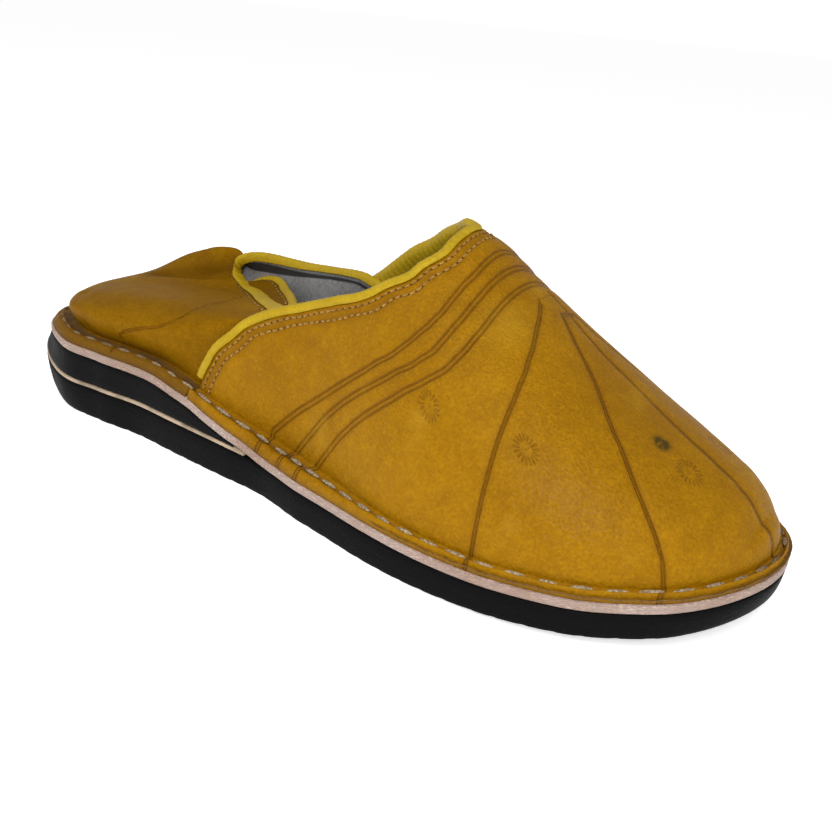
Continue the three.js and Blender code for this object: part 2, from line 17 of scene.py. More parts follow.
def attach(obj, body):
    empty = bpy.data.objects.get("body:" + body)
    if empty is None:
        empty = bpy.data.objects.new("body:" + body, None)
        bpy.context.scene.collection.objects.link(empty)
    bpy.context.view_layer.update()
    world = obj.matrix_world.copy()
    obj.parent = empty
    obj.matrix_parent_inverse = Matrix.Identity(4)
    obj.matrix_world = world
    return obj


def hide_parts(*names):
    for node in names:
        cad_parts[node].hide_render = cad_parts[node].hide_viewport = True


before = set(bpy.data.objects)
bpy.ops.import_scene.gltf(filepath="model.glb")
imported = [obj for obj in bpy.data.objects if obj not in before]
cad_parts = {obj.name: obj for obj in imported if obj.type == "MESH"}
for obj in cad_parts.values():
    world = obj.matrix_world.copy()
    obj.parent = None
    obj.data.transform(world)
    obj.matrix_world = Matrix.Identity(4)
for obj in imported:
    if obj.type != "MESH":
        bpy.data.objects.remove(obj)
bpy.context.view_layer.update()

# %% [markdown]
# ## Camera
#
# A camera that matches a photograph needs its direction, its distance and its lens. The distance
# sets how strongly the near toe swells against the far heel, so it was fitted together with the
# lens. The small roll is the photographer's.

# %% Make the camera
MM = 0.001
AZIMUTH, ELEVATION, ROLL = (math.radians(angle) for angle in (31.33, 21.88, 5.6))
CAMERA_DISTANCE = 311.56 * MM
CAMERA_TARGET = Vector((31.1, -11.7, 30.6)) * MM
SENSOR_WIDTH = 36
PIXELS_WIDE = 832
FOCAL_PIXELS = 1016.7
CLIP = (0.01, 20)


def make_camera():
    back = Vector((
        math.sin(AZIMUTH) * math.cos(ELEVATION),
        -math.cos(AZIMUTH) * math.cos(ELEVATION),
        math.sin(ELEVATION),
    ))
    level = Vector((math.cos(AZIMUTH), math.sin(AZIMUTH), 0))
    upright = back.cross(level)
    right = level * math.cos(ROLL) + upright * math.sin(ROLL)
    up = back.cross(right)
    camera = bpy.data.objects.new("camera", bpy.data.cameras.new("camera"))
    bpy.context.collection.objects.link(camera)
    turn = Matrix((right, up, back)).transposed()
    camera.matrix_world = Matrix.Translation(CAMERA_TARGET + back * CAMERA_DISTANCE) @ turn.to_4x4()
    camera.data.sensor_width = SENSOR_WIDTH
    camera.data.lens = FOCAL_PIXELS / PIXELS_WIDE * SENSOR_WIDTH
    camera.data.clip_start, camera.data.clip_end = CLIP
    bpy.context.scene.camera = camera
    return camera


camera = make_camera()
print("lens:", round(camera.data.lens, 2), "mm")

# %% [markdown]
# ## Floor and light
#
# Product photographs use a pale sweep and large soft lamps. A big lamp close by gives the slow
# change from light to dark on the vamp, and a second one from the toe's side draws the gloss.

# %% Make the floor and the lamps
FLOOR_SIZE = 20
SWEEP_HEIGHT = 1.6
FLOOR_COLOUR = (0.9, 0.9, 0.9, 1)
FLOOR_GLOW = 0.62
WORLD_STRENGTH = 0.4


def make_floor():
    """A white sweep: a floor that turns up into a wall far behind the shoe."""
    bm = bmesh.new()
    bmesh.ops.create_grid(bm, x_segments=1, y_segments=1, size=FLOOR_SIZE)
    bmesh.ops.rotate(bm, verts=bm.verts, matrix=Matrix.Rotation(AZIMUTH, 3, "Z"))
    ahead = Vector((-math.sin(AZIMUTH), math.cos(AZIMUTH), 0))
    back = [
        edge for edge in bm.edges
        if all(vert.co.dot(ahead) > FLOOR_SIZE / 2 for vert in edge.verts)
    ]
    wall = bmesh.ops.extrude_edge_only(bm, edges=back)["geom"]
    risen = [item for item in wall if isinstance(item, bmesh.types.BMVert)]
    bmesh.ops.translate(bm, verts=risen, vec=(0, 0, SWEEP_HEIGHT))
    mesh = bpy.data.meshes.new("floor")
    bm.to_mesh(mesh)
    bm.free()
    floor = bpy.data.objects.new("floor", mesh)
    bpy.context.collection.objects.link(floor)
    paint = bpy.data.materials.new("pale_floor")
    paint.use_nodes = True
    shader = paint.node_tree.nodes["Principled BSDF"]
    shader.inputs["Base Color"].default_value = FLOOR_COLOUR
    shader.inputs["Roughness"].default_value = 0.9
    shader.inputs["Specular IOR Level"].default_value = 0
    shader.inputs["Emission Color"].default_value = (1, 1, 1, 1)
    shader.inputs["Emission Strength"].default_value = FLOOR_GLOW
    mesh.materials.append(paint)


def make_lamp(name, place, aim, size, power):
    lamp = bpy.data.objects.new(name, bpy.data.lights.new(name, "AREA"))
    lamp.data.size = size
    lamp.data.energy = power
    lamp.location = place
    lamp.rotation_mode = "QUATERNION"
    lamp.rotation_quaternion = (Vector(aim) - Vector(place)).to_track_quat("-Z", "Y")
    bpy.context.collection.objects.link(lamp)
    return lamp


make_floor()
lamps = [
    make_lamp("key_lamp", (0.30, -0.50, 0.75), (0.02, 0, 0.03), 0.5, 3.3),
    make_lamp("gloss_lamp", (0.264, -0.618, 0.391), (0.09, -0.04, 0.03), 0.14, 1.15),
    make_lamp("toe_lamp", (0.9, 0.05, 0.55), (0.05, 0, 0.03), 0.5, 0.8),
    make_lamp("heel_lamp", (-0.7, -0.3, 0.7), (-0.05, 0, 0.03), 0.6, 1.4),
]
world = bpy.data.worlds.new("studio")
world.use_nodes = True
world.node_tree.nodes["Background"].inputs["Color"].default_value = (1, 1, 1, 1)
world.node_tree.nodes["Background"].inputs["Strength"].default_value = WORLD_STRENGTH
bpy.context.scene.world = world
bpy.context.scene.view_settings.view_transform = "Standard"
print("lamps:", [lamp.name for lamp in lamps])

# %% [markdown]
# ## The last
#
# A shoe takes its shape from a last, a wooden foot. Here the last is a few short tables: the
# outline of the sole, the heights of its layers, the sections of the vamp and the curve of the
# throat. They are the same sizes as the solids', so what is built on them fits.

# %% Sizes of the sole and the upper, in millimetres
LENGTH = 284
BALL_WIDTH = 106
HEEL_WIDTH = 70.5
HEEL_END_RADIUS = 19
TOE_END_RADIUS = 38
OUTSOLE_THICKNESS = 10.9
STRIPE_THICKNESS = 1.3
WEDGE_RISE = 11.2
MIDSOLE_THICKNESS = 2.8
TOE_SPRING = 7
HEEL_LIFT = 2.5
RUBBER_STEP = 0.2
HEEL_FLARE = 3
END_ROUND = 7
WALL = 2
QUARTER_WALL = 1.8
FLANGE_WIDTH = 8.5
FLANGE_SETBACK = 0.5
INSTEP_RISE = 74
QUARTER_RISE = 30
TOE_WALL_RADIUS = 11
CLEARANCE = 0.3
LAP_CLEARANCE = 0.55
FIRST_TURN = math.radians(4)

OUTLINE = [  # along, width followed, near share, far share
    (0.10, HEEL_WIDTH, 0.89, 0.89), (0.19, HEEL_WIDTH, 1.00, 1.00), (0.30, HEEL_WIDTH, 1.02, 1.05),
    (0.42, BALL_WIDTH, 0.735, 0.75), (0.54, BALL_WIDTH, 0.86, 0.86), (0.64, BALL_WIDTH, 0.97, 0.95),
    (0.74, BALL_WIDTH, 1.015, 0.975), (0.83, BALL_WIDTH, 0.965, 0.91), (0.90, BALL_WIDTH, 0.815, 0.755),
    (0.955, BALL_WIDTH, 0.58, 0.57),
]
SOLE_HEIGHTS = [  # along, lift, spring, rubber, wedge
    (0.00, 1.0, 0.00, 1.00, 0.50), (0.04, 0.5, 0.00, 1.00, 0.80), (0.08, 0.1, 0.00, 1.00, 0.96),
    (0.12, 0.0, 0.00, 1.00, 1.00), (0.25, 0.0, 0.00, 1.00, 0.97), (0.33, 0.0, 0.00, 1.00, 0.78),
    (0.38, 0.0, 0.00, 0.99, 0.47), (0.43, 0.0, 0.00, 0.96, 0.20), (0.50, 0.0, 0.00, 0.88, 0.00),
    (0.64, 0.0, 0.00, 0.83, 0.00), (0.70, 0.0, 0.03, 0.78, 0.00), (0.80, 0.0, 0.18, 0.72, 0.00),
    (0.92, 0.0, 0.50, 0.68, 0.00), (1.00, 0.0, 1.00, 0.67, 0.00),
]
RUBBER_ENDS = [  # along, flare, round
    (0.00, 1.00, 1.00), (0.03, 0.80, 0.75), (0.08, 0.45, 0.35), (0.15, 0.15, 0.10),
    (0.22, 0.00, 0.00), (0.90, 0.00, 0.00), (1.00, 0.00, 0.25),
]
FLANGE = [  # along, width
    (0.00, 0.80), (0.20, 0.80), (0.34, 0.65), (0.42, 0.85), (0.50, 1.00), (0.60, 0.70),
    (0.70, 0.46), (0.85, 0.40), (1.00, 0.40),
]
VAMP_SECTIONS = [  # along, rise, arch
    (0.20, 1.07, 1.75), (0.35, 1.08, 1.75), (0.47, 1.095, 1.75), (0.545, 1.055, 1.75),
    (0.623, 0.997, 1.80), (0.687, 0.851, 1.89), (0.757, 0.677, 1.98), (0.827, 0.508, 2.08),
    (0.88, 0.40, 2.13), (0.922, 0.316, 2.13), (0.951, 0.235, 2.13), (0.972, 0.150, 2.13),
]
THROAT = [  # degrees round the section, along
    (0, 0.350), (10, 0.365), (20, 0.394), (30, 0.443), (40, 0.522), (50, 0.581), (60, 0.612),
    (75, 0.628), (90, 0.629), (105, 0.603), (120, 0.561), (135, 0.502), (150, 0.438),
    (160, 0.396), (170, 0.365), (180, 0.350),
]

# %% [markdown]
# A smooth curve through each table gives a value anywhere along the shoe. The curve never swings
# past its rows, because a bulge in a table becomes a dent in the leather.

# %% Curves through the tables
TABLE_STEPS = 4000


def smooth_curve(rows, column):
    """A curve through the rows' given column against their first, for arrays of numbers."""
    xs = np.array([row[0] for row in rows], float)
    ys = np.array([row[column] for row in rows], float)
    slopes = np.diff(ys) / np.diff(xs)
    tangents = np.concatenate([slopes[:1], slopes])
    for i in range(1, len(xs) - 1):
        before, after = slopes[i - 1], slopes[i]
        tangents[i] = 0 if before * after <= 0 else 2 * before * after / (before + after)

    def value(x):
        inside = np.clip(x, xs[0], xs[-1])
        i = np.clip(np.searchsorted(xs, inside) - 1, 0, len(xs) - 2)
        step = xs[i + 1] - xs[i]
        t = (inside - xs[i]) / step
        a = ys[i] + t * tangents[i] * step
        b = ys[i + 1] - (1 - t) * tangents[i + 1] * step
        ease = t * t * (3 - 2 * t)
        return a * (1 - ease) + b * ease

    return value


def half_width_curve(column):
    end_shape = [math.sqrt(radius * LENGTH / 2) for radius in (HEEL_END_RADIUS, TOE_END_RADIUS)]
    rows = [(0, end_shape[0])]
    for row in OUTLINE:
        turn = math.acos(1 - 2 * row[0])
        rows.append((turn, row[column] * row[1] / 2 / math.sin(turn)))
    rows.append((math.pi, end_shape[1]))
    shape = smooth_curve(rows, 1)
    return lambda turn: np.sin(turn) * shape(turn)


HALF_WIDTH = {"near": half_width_curve(2), "far": half_width_curve(3)}
SIGN = {"near": -1, "far": 1}
flare_share = smooth_curve(RUBBER_ENDS, 1)
round_share = smooth_curve(RUBBER_ENDS, 2)
flange_share = smooth_curve(FLANGE, 1)
rise_share = smooth_curve(VAMP_SECTIONS, 1)
arch_shape = smooth_curve(VAMP_SECTIONS, 2)
throat_share = smooth_curve(THROAT, 1)
lift_share, spring_share, rubber_share, wedge_share = (
    smooth_curve(SOLE_HEIGHTS, column) for column in (1, 2, 3, 4)
)
print("widest at the ball:", BALL_WIDTH, "mm, from", len(OUTLINE), "rows")


def along_at(turn):
    return (1 - np.cos(turn)) / 2


def outline_point(side, turn, inset):
    """x and y of the sole's outline, moved inwards by inset, for arrays of turns."""
    step = 1e-3
    width = HALF_WIDTH[side]
    dx = LENGTH * (along_at(turn + step) - along_at(turn - step))
    dy = width(turn + step) - width(turn - step)
    run = np.hypot(dx, dy)
    x = LENGTH * along_at(turn) + inset * dy / run
    return x, SIGN[side] * np.maximum(width(turn) - inset * dx / run, 0)


fine_turns = np.linspace(0, math.pi, TABLE_STEPS)
widest = {side: HALF_WIDTH[side](fine_turns).max() for side in HALF_WIDTH}
SHIFT = np.array([
    -(LENGTH - HEEL_FLARE + RUBBER_STEP) / 2,
    (widest["near"] - widest["far"]) / 2,
    0,
])
print("shift to the middle of the box:", SHIFT.round(2), "mm")

# %% [markdown]
# The layers of the sole lie on each other with a hair of room, and the foot of the upper's wall
# stands inside the flange. Every piece asks these functions where it belongs.

# %% Heights of the layers, and the foot of the wall


def tread_z(x):
    return HEEL_LIFT * lift_share(x / LENGTH) + TOE_SPRING * spring_share(x / LENGTH)


def outsole_top_z(x):
    return tread_z(x) + OUTSOLE_THICKNESS * rubber_share(x / LENGTH)


def stripe_bottom_z(x):
    return outsole_top_z(x) + CLEARANCE


def stripe_top_z(x):
    return stripe_bottom_z(x) + STRIPE_THICKNESS


def wedge_bottom_z(x):
    return stripe_top_z(x) + CLEARANCE


def wedge_top_z(x):
    return outsole_top_z(x) + WEDGE_RISE * wedge_share(x / LENGTH)


def midsole_bottom_z(x):
    return wedge_top_z(x) + CLEARANCE


def midsole_top_z(x):
    return midsole_bottom_z(x) + MIDSOLE_THICKNESS


def above_midsole(x, distance):
    slope = midsole_top_z(x + 0.5) - midsole_top_z(x - 0.5)
    return midsole_top_z(x) + distance * np.hypot(1, slope)


def flange_top_z(x):
    return above_midsole(x, CLEARANCE + WALL)


def foot_point(side, turn, further=0.0):
    return outline_point(side, turn, FLANGE_WIDTH * flange_share(along_at(turn)) + further)


def foot_turn(side, x, further=0.0):
    xs = foot_point(side, fine_turns, further)[0]
    return np.interp(x, xs, fine_turns)


VAMP_TIP = foot_point("near", np.array(math.pi))[0]
print("tip of the vamp's wall at", round(float(VAMP_TIP), 1), "mm")

# %% [markdown]
# ## Carrying a flat grid to its place
#
# Leather starts flat and is pulled over the last. The pieces here do the same: a flat grid is made
# with one operator, and every corner is carried to its place on the last. What a finish needs to
# know, such as the distance from the throat, is kept on the corners as an attribute.

# %% The grid helper
LINING, CUT_EDGE, RIM = 1, 2, 3  # places of a sheet's materials after its leather


def place(points):
    """Metres in the frame, from millimetres with the back of the heel at zero."""
    return (np.asarray(points, float) + SHIFT) * MM


def unit(vectors):
    return vectors / np.maximum(np.linalg.norm(vectors, axis=-1, keepdims=True), 1e-9)


def running_length(points):
    """Distance from the first point to each, along a line or along every row of a grid."""
    steps = np.linalg.norm(np.diff(points, axis=-2), axis=-1)
    return np.concatenate([np.zeros_like(steps[..., :1]), np.cumsum(steps, -1)], -1)


def grid_normals(points):
    """Normals of an array of rows and columns of points, as row step x column step."""
    rows, columns = np.gradient(points, axis=0), np.gradient(points, axis=1)
    return unit(np.cross(rows, columns))


def bent_grid(name, points, marks=None, flip=False, closed=False):
    """A grid of the array's rows and columns, with marks kept as attributes on its corners."""
    rows, columns = points.shape[:2]
    bm = bmesh.new()
    bmesh.ops.create_grid(bm, x_segments=columns - 1, y_segments=rows - 1, size=0.5)
    layers = {}
    for mark, values in (marks or {}).items():
        kinds = bm.verts.layers.float_vector if values.ndim == 3 else bm.verts.layers.float
        layers[mark] = kinds.new(mark)
    carried = place(points)
    for vert in bm.verts:
        i = round((vert.co.y + 0.5) * (rows - 1))
        j = round((vert.co.x + 0.5) * (columns - 1))
        for mark, layer in layers.items():
            value = marks[mark][i, j]
            vert[layer] = Vector(value) if value.ndim else float(value)
        vert.co = carried[i, j]
    bmesh.ops.remove_doubles(bm, verts=bm.verts, dist=0.00001)
    if flip:
        bmesh.ops.reverse_faces(bm, faces=bm.faces)
    if closed:
        bmesh.ops.recalc_face_normals(bm, faces=bm.faces)
    return finish_mesh(name, bm)


def finish_mesh(name, bm):
    for face in bm.faces:
        face.smooth = True
    mesh = bpy.data.meshes.new(name)
    bm.to_mesh(mesh)
    bm.free()
    piece = bpy.data.objects.new(name, mesh)
    bpy.context.collection.objects.link(piece)
    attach(piece, "root")
    return piece


def mark_rim(piece):
    """Gives the rim's faces a material of their own, so that no lining shows under its edge."""
    shares = piece.data.attributes["rim"].data
    for face in piece.data.polygons:
        if max(shares[corner].value for corner in face.vertices) < 0.9:
            face.material_index = RIM


def add_wall(piece, thickness):
    """Gives a sheet its thickness, inwards from the face that is seen, with lining and cut edge."""
    wall = piece.modifiers.new("wall", "SOLIDIFY")
    wall.thickness = thickness * MM
    wall.offset = -1
    wall.use_even_offset = False
    wall.material_offset = LINING
    wall.material_offset_rim = CUT_EDGE


print("grid helper ready")

# %% [markdown]
# ## Shader maths in plain sums
#
# A node tree is a sum written with boxes. This small class lets the sum be written as a sum: it
# wraps a socket, and each operator adds the Math node that does it.

# %% Wires and finishes


class Wire:
    """An output socket that can be used in sums."""

    def __init__(self, finish, socket):
        self.finish = finish
        self.socket = socket

    def math(self, operation, *values):
        return self.finish.node("ShaderNodeMath", {"operation": operation}, values or (self,))

    def __add__(self, other):
        return self.math("ADD", self, other)

    def __radd__(self, other):
        return self.math("ADD", other, self)

    def __sub__(self, other):
        return self.math("SUBTRACT", self, other)

    def __rsub__(self, other):
        return self.math("SUBTRACT", other, self)

    def __mul__(self, other):
        return self.math("MULTIPLY", self, other)

    def __rmul__(self, other):
        return self.math("MULTIPLY", other, self)

    def __truediv__(self, other):
        return self.math("DIVIDE", self, other)

    def __rtruediv__(self, other):
        return self.math("DIVIDE", other, self)

    def __abs__(self):
        return self.math("ABSOLUTE")

    def smallest(self, other):
        return self.math("MINIMUM", self, other)

    def largest(self, other):
        return self.math("MAXIMUM", self, other)

    def wave(self, rate):
        return (self * rate).math("COSINE")

    def angle(self, other):
        return self.math("ARCTAN2", self, other)

    def step(self, low, high):
        """0 below low and 1 above high, with an eased rise between them."""
        return self.finish.node(
            "ShaderNodeMapRange",
            {"interpolation_type": "SMOOTHSTEP"},
            {"Value": self, "From Min": low, "From Max": high},
        )

    def hump(self, centre, width):
        """1 at centre, falling to 0 at width either side of it."""
        return 1 - (abs(self - centre) / width).step(0.0, 1.0)


class Finish:
    """A material with one Principled shader, built a node at a time."""

    def __init__(self, name, **fixed):
        self.material = bpy.data.materials.new(name)
        self.material.use_nodes = True
        self.tree = self.material.node_tree
        self.shader = self.tree.nodes["Principled BSDF"]
        for socket, value in fixed.items():
            self.shader.inputs[socket.replace("_", " ")].default_value = value
        self.place = self.node("ShaderNodeTexCoord", output="Object")

    def node(self, kind, settings=None, values=(), output=0):
        made = self.tree.nodes.new(kind)
        for setting, value in (settings or {}).items():
            setattr(made, setting, value)
        named = values.items() if isinstance(values, dict) else enumerate(values)
        for socket, value in named:
            if isinstance(value, Wire):
                self.tree.links.new(value.socket, made.inputs[socket])
            else:
                made.inputs[socket].default_value = value
        return Wire(self, made.outputs[output])

    def mark(self, name, output="Fac"):
        return self.node("ShaderNodeAttribute", {"attribute_name": name}, output=output)

    def split(self, vector):
        parts = self.node("ShaderNodeSeparateXYZ", values=[vector]).socket.node.outputs
        return [Wire(self, part) for part in parts]

    def noise(self, scale, detail=3.0, roughness=0.55):
        values = {"Vector": self.place, "Scale": scale, "Detail": detail, "Roughness": roughness}
        return self.node("ShaderNodeTexNoise", values=values)

    def pebbles(self, scale):
        values = {"Vector": self.place, "Scale": scale}
        settings = {"feature": "SMOOTH_F1"}
        return self.node("ShaderNodeTexVoronoi", settings, values, output="Distance")

    def stretched(self, x, y, z):
        return self.node("ShaderNodeMapping", values={"Vector": self.place, "Scale": (x, y, z)})

    def mix(self, amount, first, second):
        values = {0: amount, 6: first, 7: second}
        return self.node("ShaderNodeMix", {"data_type": "RGBA"}, values, output=2)

    def feed(self, socket, wire):
        self.tree.links.new(wire.socket, self.shader.inputs[socket])

    def bump(self, height, distance):
        """Feeds Normal from a height in shares of distance, which is in millimetres."""
        values = {"Strength": 1.0, "Distance": distance * MM, "Height": height}
        self.feed("Normal", self.node("ShaderNodeBump", values=values))


print("finish helper ready")

# %% [markdown]
# ## Leather
#
# Full-grain leather is never one colour. Dye pools in it in broad clouds, pores and small scars
# break it up, and its surface is a net of tiny pebbles that the light picks out. One function
# makes every leather of the slipper, and each gets its own colours and its own gloss.

# %% The leather function
GRAIN, CLOUD, MOTTLE, SPECKLE, WRINKLES = 1150, 26, 150, 1300, 420  # cells to a metre


def leather_base(finish, light, dark, grain=GRAIN, cloud=CLOUD):
    """Colour, height and clouds that all the leathers share, for more to be added to them."""
    clouds = finish.noise(cloud, 4.0)
    mottle = finish.noise(MOTTLE)
    speckle = finish.noise(SPECKLE, 2.0)
    shade = (clouds * 0.35 + mottle * 0.25 + speckle * 0.4).step(0.28, 0.68)
    colour = finish.mix(shade, dark, light)
    pebbles = finish.pebbles(grain)
    wrinkles = finish.noise(WRINKLES, 4.0, 0.6)
    creases = pebbles.step(0.30, 0.62) * 0.5 + wrinkles.step(0.45, 0.62) * 0.5
    # Partly painted shade: darker in the hollows of the grain, where pebbles and wrinkles dip; the rest is
    # the grain's own colour.
    colour = finish.mix((1 - creases) * 0.4, colour, dark)
    height = pebbles * 0.55 + wrinkles * 0.45
    return colour, height, clouds


print("leather function ready")

# %% [markdown]
# ## Rubber unit
#
# The sole is three layers: a black outsole, a thin beige stripe and a black wedge that runs out
# under the waist. Each is a ring of the sole's outline, carried up through its own profile. The
# outsole closes underneath, where shallow bars of tread cross it.

# %% A closed layer of the sole
RING_STEPS = 220


def layer_points(front, profile, centre_rows):
    """Rows of a closed layer: the middle of its underside, its side rows, the middle of its top.

    A profile row is an inset and a height, both functions of the place along the sole."""
    last = math.pi if front >= LENGTH else math.acos(1 - 2 * front / LENGTH)
    turns = np.linspace(0, last, RING_STEPS)
    sides = [("near", turns), ("far", turns[::-1])]
    rows = []
    for inset_at, height_at in profile:
        row = []
        for side, some in sides:
            x, y = outline_point(side, some, inset_at(along_at(some)))
            x = np.minimum(x, front)
            row.append(np.stack([x, y, height_at(x)], -1))
        rows.append(np.concatenate(row))

    def towards_middle(ring, height_at, share):
        middle = (ring + ring[::-1]) / 2 * np.array([1, 0, 0])
        inner = ring + (middle - ring) * share
        inner[:, 2] = height_at(inner[:, 0])
        return inner

    shares = np.arange(1, centre_rows + 1) / centre_rows
    under = [towards_middle(rows[0], profile[0][1], share) for share in shares[::-1]]
    over = [towards_middle(rows[-1], profile[-1][1], share) for share in shares]
    return np.stack(under + rows + over)


def layer(name, front, profile, centre_rows=5):
    points = layer_points(front, profile, centre_rows)
    points = np.concatenate([points, points[:, :1]], 1)
    return bent_grid(name, points, closed=True)


def rubber_inset(along):
    return RUBBER_STEP - HEEL_FLARE * flare_share(along)


def between(low_z, high_z, share):
    return lambda x: low_z(x) + (high_z(x) - low_z(x)) * share


print("one side of a ring has", RING_STEPS, "steps")

# %% The outsole, the stripe and the wedge
TREAD_PITCH = 7.5
TREAD_DEPTH = 0.6
TREAD_FLAT = 0.55
TREAD_SLOPE = 0.3
TREAD_AT_EDGE = 0.4
EDGE_ROUND = 0.7
EDGE_LIP = 0.4
UNDER_LIP = 3.0
OUTSOLE_EDGE = [  # share of the height, share of the rounding
    (0.03, 0.8), (0.08, 0.62), (0.16, 0.45), (0.26, 0.33), (0.36, 0.24), (0.6, 0.1), (0.9, 0.0),
]
STRIPE_LIP = 0.3
WEDGE_SHARES = (0.0, 0.06, 0.25, 0.5, 0.75, 0.94, 1.0)
WEDGE_LEAST = 0.5


def tread_groove(x):
    """Depth of the tread's cross grooves at x, nothing between them."""
    wave = np.cos(2 * math.pi * x / TREAD_PITCH)
    return TREAD_DEPTH * np.clip((wave - TREAD_FLAT) / TREAD_SLOPE, 0, 1)


def lip(inset, amount):
    return lambda along: inset(along) + amount


def outsole_inset(eased):
    return lambda along: rubber_inset(along) + eased * (EDGE_ROUND + END_ROUND * round_share(along))


def tread_bottom(x):
    return tread_z(x) + tread_groove(x)


def tread_edge(x):
    return tread_z(x) + TREAD_AT_EDGE * tread_groove(x)


outsole_profile = [
    (lip(outsole_inset(1.0), UNDER_LIP), tread_bottom),
    (outsole_inset(1.0), tread_edge),
]
for share, eased in OUTSOLE_EDGE:
    outsole_profile.append((outsole_inset(eased), between(tread_z, outsole_top_z, share)))
outsole_profile.append((lip(rubber_inset, EDGE_LIP), outsole_top_z))
outsole = layer("rubber_outsole", LENGTH, outsole_profile, 8)


def wedge_end(rise):
    """Where along the sole the wedge has run out to a given rise."""
    xs = np.linspace(0.2 * LENGTH, 0.5 * LENGTH, 2000)
    return float(xs[np.argmax(WEDGE_RISE * wedge_share(xs / LENGTH) <= rise)])


stripe = layer("beige_stripe", wedge_end(CLEARANCE + STRIPE_THICKNESS), [
    (lip(rubber_inset, STRIPE_LIP), stripe_bottom_z),
    (rubber_inset, between(stripe_bottom_z, stripe_top_z, 0.25)),
    (rubber_inset, between(stripe_bottom_z, stripe_top_z, 0.75)),
    (lip(rubber_inset, STRIPE_LIP), stripe_top_z),
])


def wedge_inset(share):
    """The wedge's side leans from the flared outsole in to the midsole, with an eased lip."""
    edge = EDGE_LIP if share in (0.0, 1.0) else 0.0
    return lambda along: rubber_inset(along) * (1 - share) + RUBBER_STEP * share + edge


wedge = layer("rubber_wedge", wedge_end(2 * CLEARANCE + STRIPE_THICKNESS + WEDGE_LEAST), [
    (wedge_inset(share), between(wedge_bottom_z, wedge_top_z, share)) for share in WEDGE_SHARES
])
for piece, node in ((outsole, "outsole"), (stripe, "heel_stripe"), (wedge, "heel_wedge")):
    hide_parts(node)
    print(piece.name, len(piece.data.polygons), "faces")

# %% [markdown]
# The midsole is a strip of pink leather board. Only its cut edge shows, a little fibrous and
# uneven, with the upper sewn down on top of it. The insole is grey suede, soft at its rim.

# %% The midsole and the insole
MIDSOLE_EASE = 0.35
INSOLE_THICKNESS = 2.2
INSOLE_INSET = 5.2
INSOLE_EASE = 0.5
midsole = layer("pink_midsole", LENGTH, [
    (np.zeros_like if 0 < share < 1 else lip(np.zeros_like, MIDSOLE_EASE),
     between(midsole_bottom_z, midsole_top_z, share))
    for share in (0.0, 0.2, 0.8, 1.0)
])


def insole_inset(extra):
    return lambda along: FLANGE_WIDTH * flange_share(along) + INSOLE_INSET + extra


def over_midsole(distance):
    return lambda x: above_midsole(x, distance)


insole = layer("suede_insole", LENGTH, [
    (insole_inset(0.0), over_midsole(CLEARANCE)),
    (insole_inset(0.0), over_midsole(CLEARANCE + INSOLE_THICKNESS * 0.6)),
    (insole_inset(INSOLE_EASE), over_midsole(CLEARANCE + INSOLE_THICKNESS)),
], 8)
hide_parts("midsole")
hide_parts("insole")
print("midsole", len(midsole.data.polygons), "insole", len(insole.data.polygons), "faces")

# %% [markdown]
# ## The vamp
#
# One piece of leather covers toe and instep. Its section is a rounded gable, high at the throat
# and low at the toe, and its foot turns out in a flange that lies on the midsole. The grid runs
# from the throat to the tip one way and across the foot the other.

# %% The vamp's surface
VAMP_ROWS = 165
VAMP_TURNS = 200
FLANGE_COLUMNS = 13
RIM_ROLL = 0.75
RIM_DROP = 2.3
STITCH_SHARE = 0.66
RIM_PITCH = 8.5
RIM_PUCKER = 0.28
RIM_STEPS = 900
BEND_RUN = 0.7
ROW_CROWDING = 1.7  # rows lie closer towards the tip of the toe
VALLEY_DEPTH = 0.5
VALLEY_WIDTH = 0.13
PUCKER_WIDTH = 0.3
DROP_SHARE = 0.34
BEND_SHARE = 0.8


def throat_x(turn):
    return LENGTH * throat_share(np.degrees(turn))


def down_the_vamp(turn, share):
    """x at a share of the way from the throat to the tip."""
    return throat_x(turn) + (VAMP_TIP - throat_x(turn)) * share


def vamp_rise(x):
    part = np.clip((x - (VAMP_TIP - TOE_WALL_RADIUS)) / TOE_WALL_RADIUS, 0, 1)
    return INSTEP_RISE * rise_share(x / LENGTH) * (1 - part ** 2.5) ** 0.4


def vamp_point(x, turn):
    x, turn = np.broadcast_arrays(np.asarray(x, float), np.asarray(turn, float))
    power = 2 / arch_shape(x / LENGTH)
    inside = np.minimum(x, VAMP_TIP)
    width = {
        side: np.abs(foot_point(side, foot_turn(side, inside))[1]) for side in ("near", "far")
    }
    y = np.where(turn < math.pi / 2, -width["near"], width["far"]) * np.abs(np.cos(turn)) ** power
    up = np.maximum(np.sin(turn), 0) ** power
    return np.stack([x, y, flange_top_z(x) + vamp_rise(x) * up], -1)


def vamp_normal(x, turn):
    along = vamp_point(x + 0.5, turn) - vamp_point(x - 0.5, turn)
    across = vamp_point(x, turn + 0.02) - vamp_point(x, turn - 0.02)
    normal = unit(np.cross(across, along))
    point = vamp_point(x, turn)
    outward = normal[..., 1] * point[..., 1] + normal[..., 2] * np.abs(point[..., 1])
    return np.where((outward < 0)[..., None], -normal, normal)


def rim_inset(turn):
    width = FLANGE_WIDTH * flange_share(along_at(turn))
    return FLANGE_SETBACK + STITCH_SHARE * (width - BEND_RUN - FLANGE_SETBACK)


rim_turns = np.linspace(0.02, math.pi - 0.02, RIM_STEPS)
rim_lines = {}
for side in SIGN:
    rim_x, rim_y = outline_point(side, rim_turns, rim_inset(rim_turns))
    rim_lines[side] = np.stack([rim_x, rim_y, flange_top_z(rim_x) + 0.05], -1)


def rim_pucker(side, turn, shares):
    """The leather dips under each stitch of the rim and swells between them."""
    run = np.interp(turn, rim_turns, running_length(rim_lines[side]))
    wave = np.cos(2 * math.pi * run / RIM_PITCH)
    return RIM_PUCKER * wave * np.exp(-((shares - STITCH_SHARE) / PUCKER_WIDTH) ** 2)


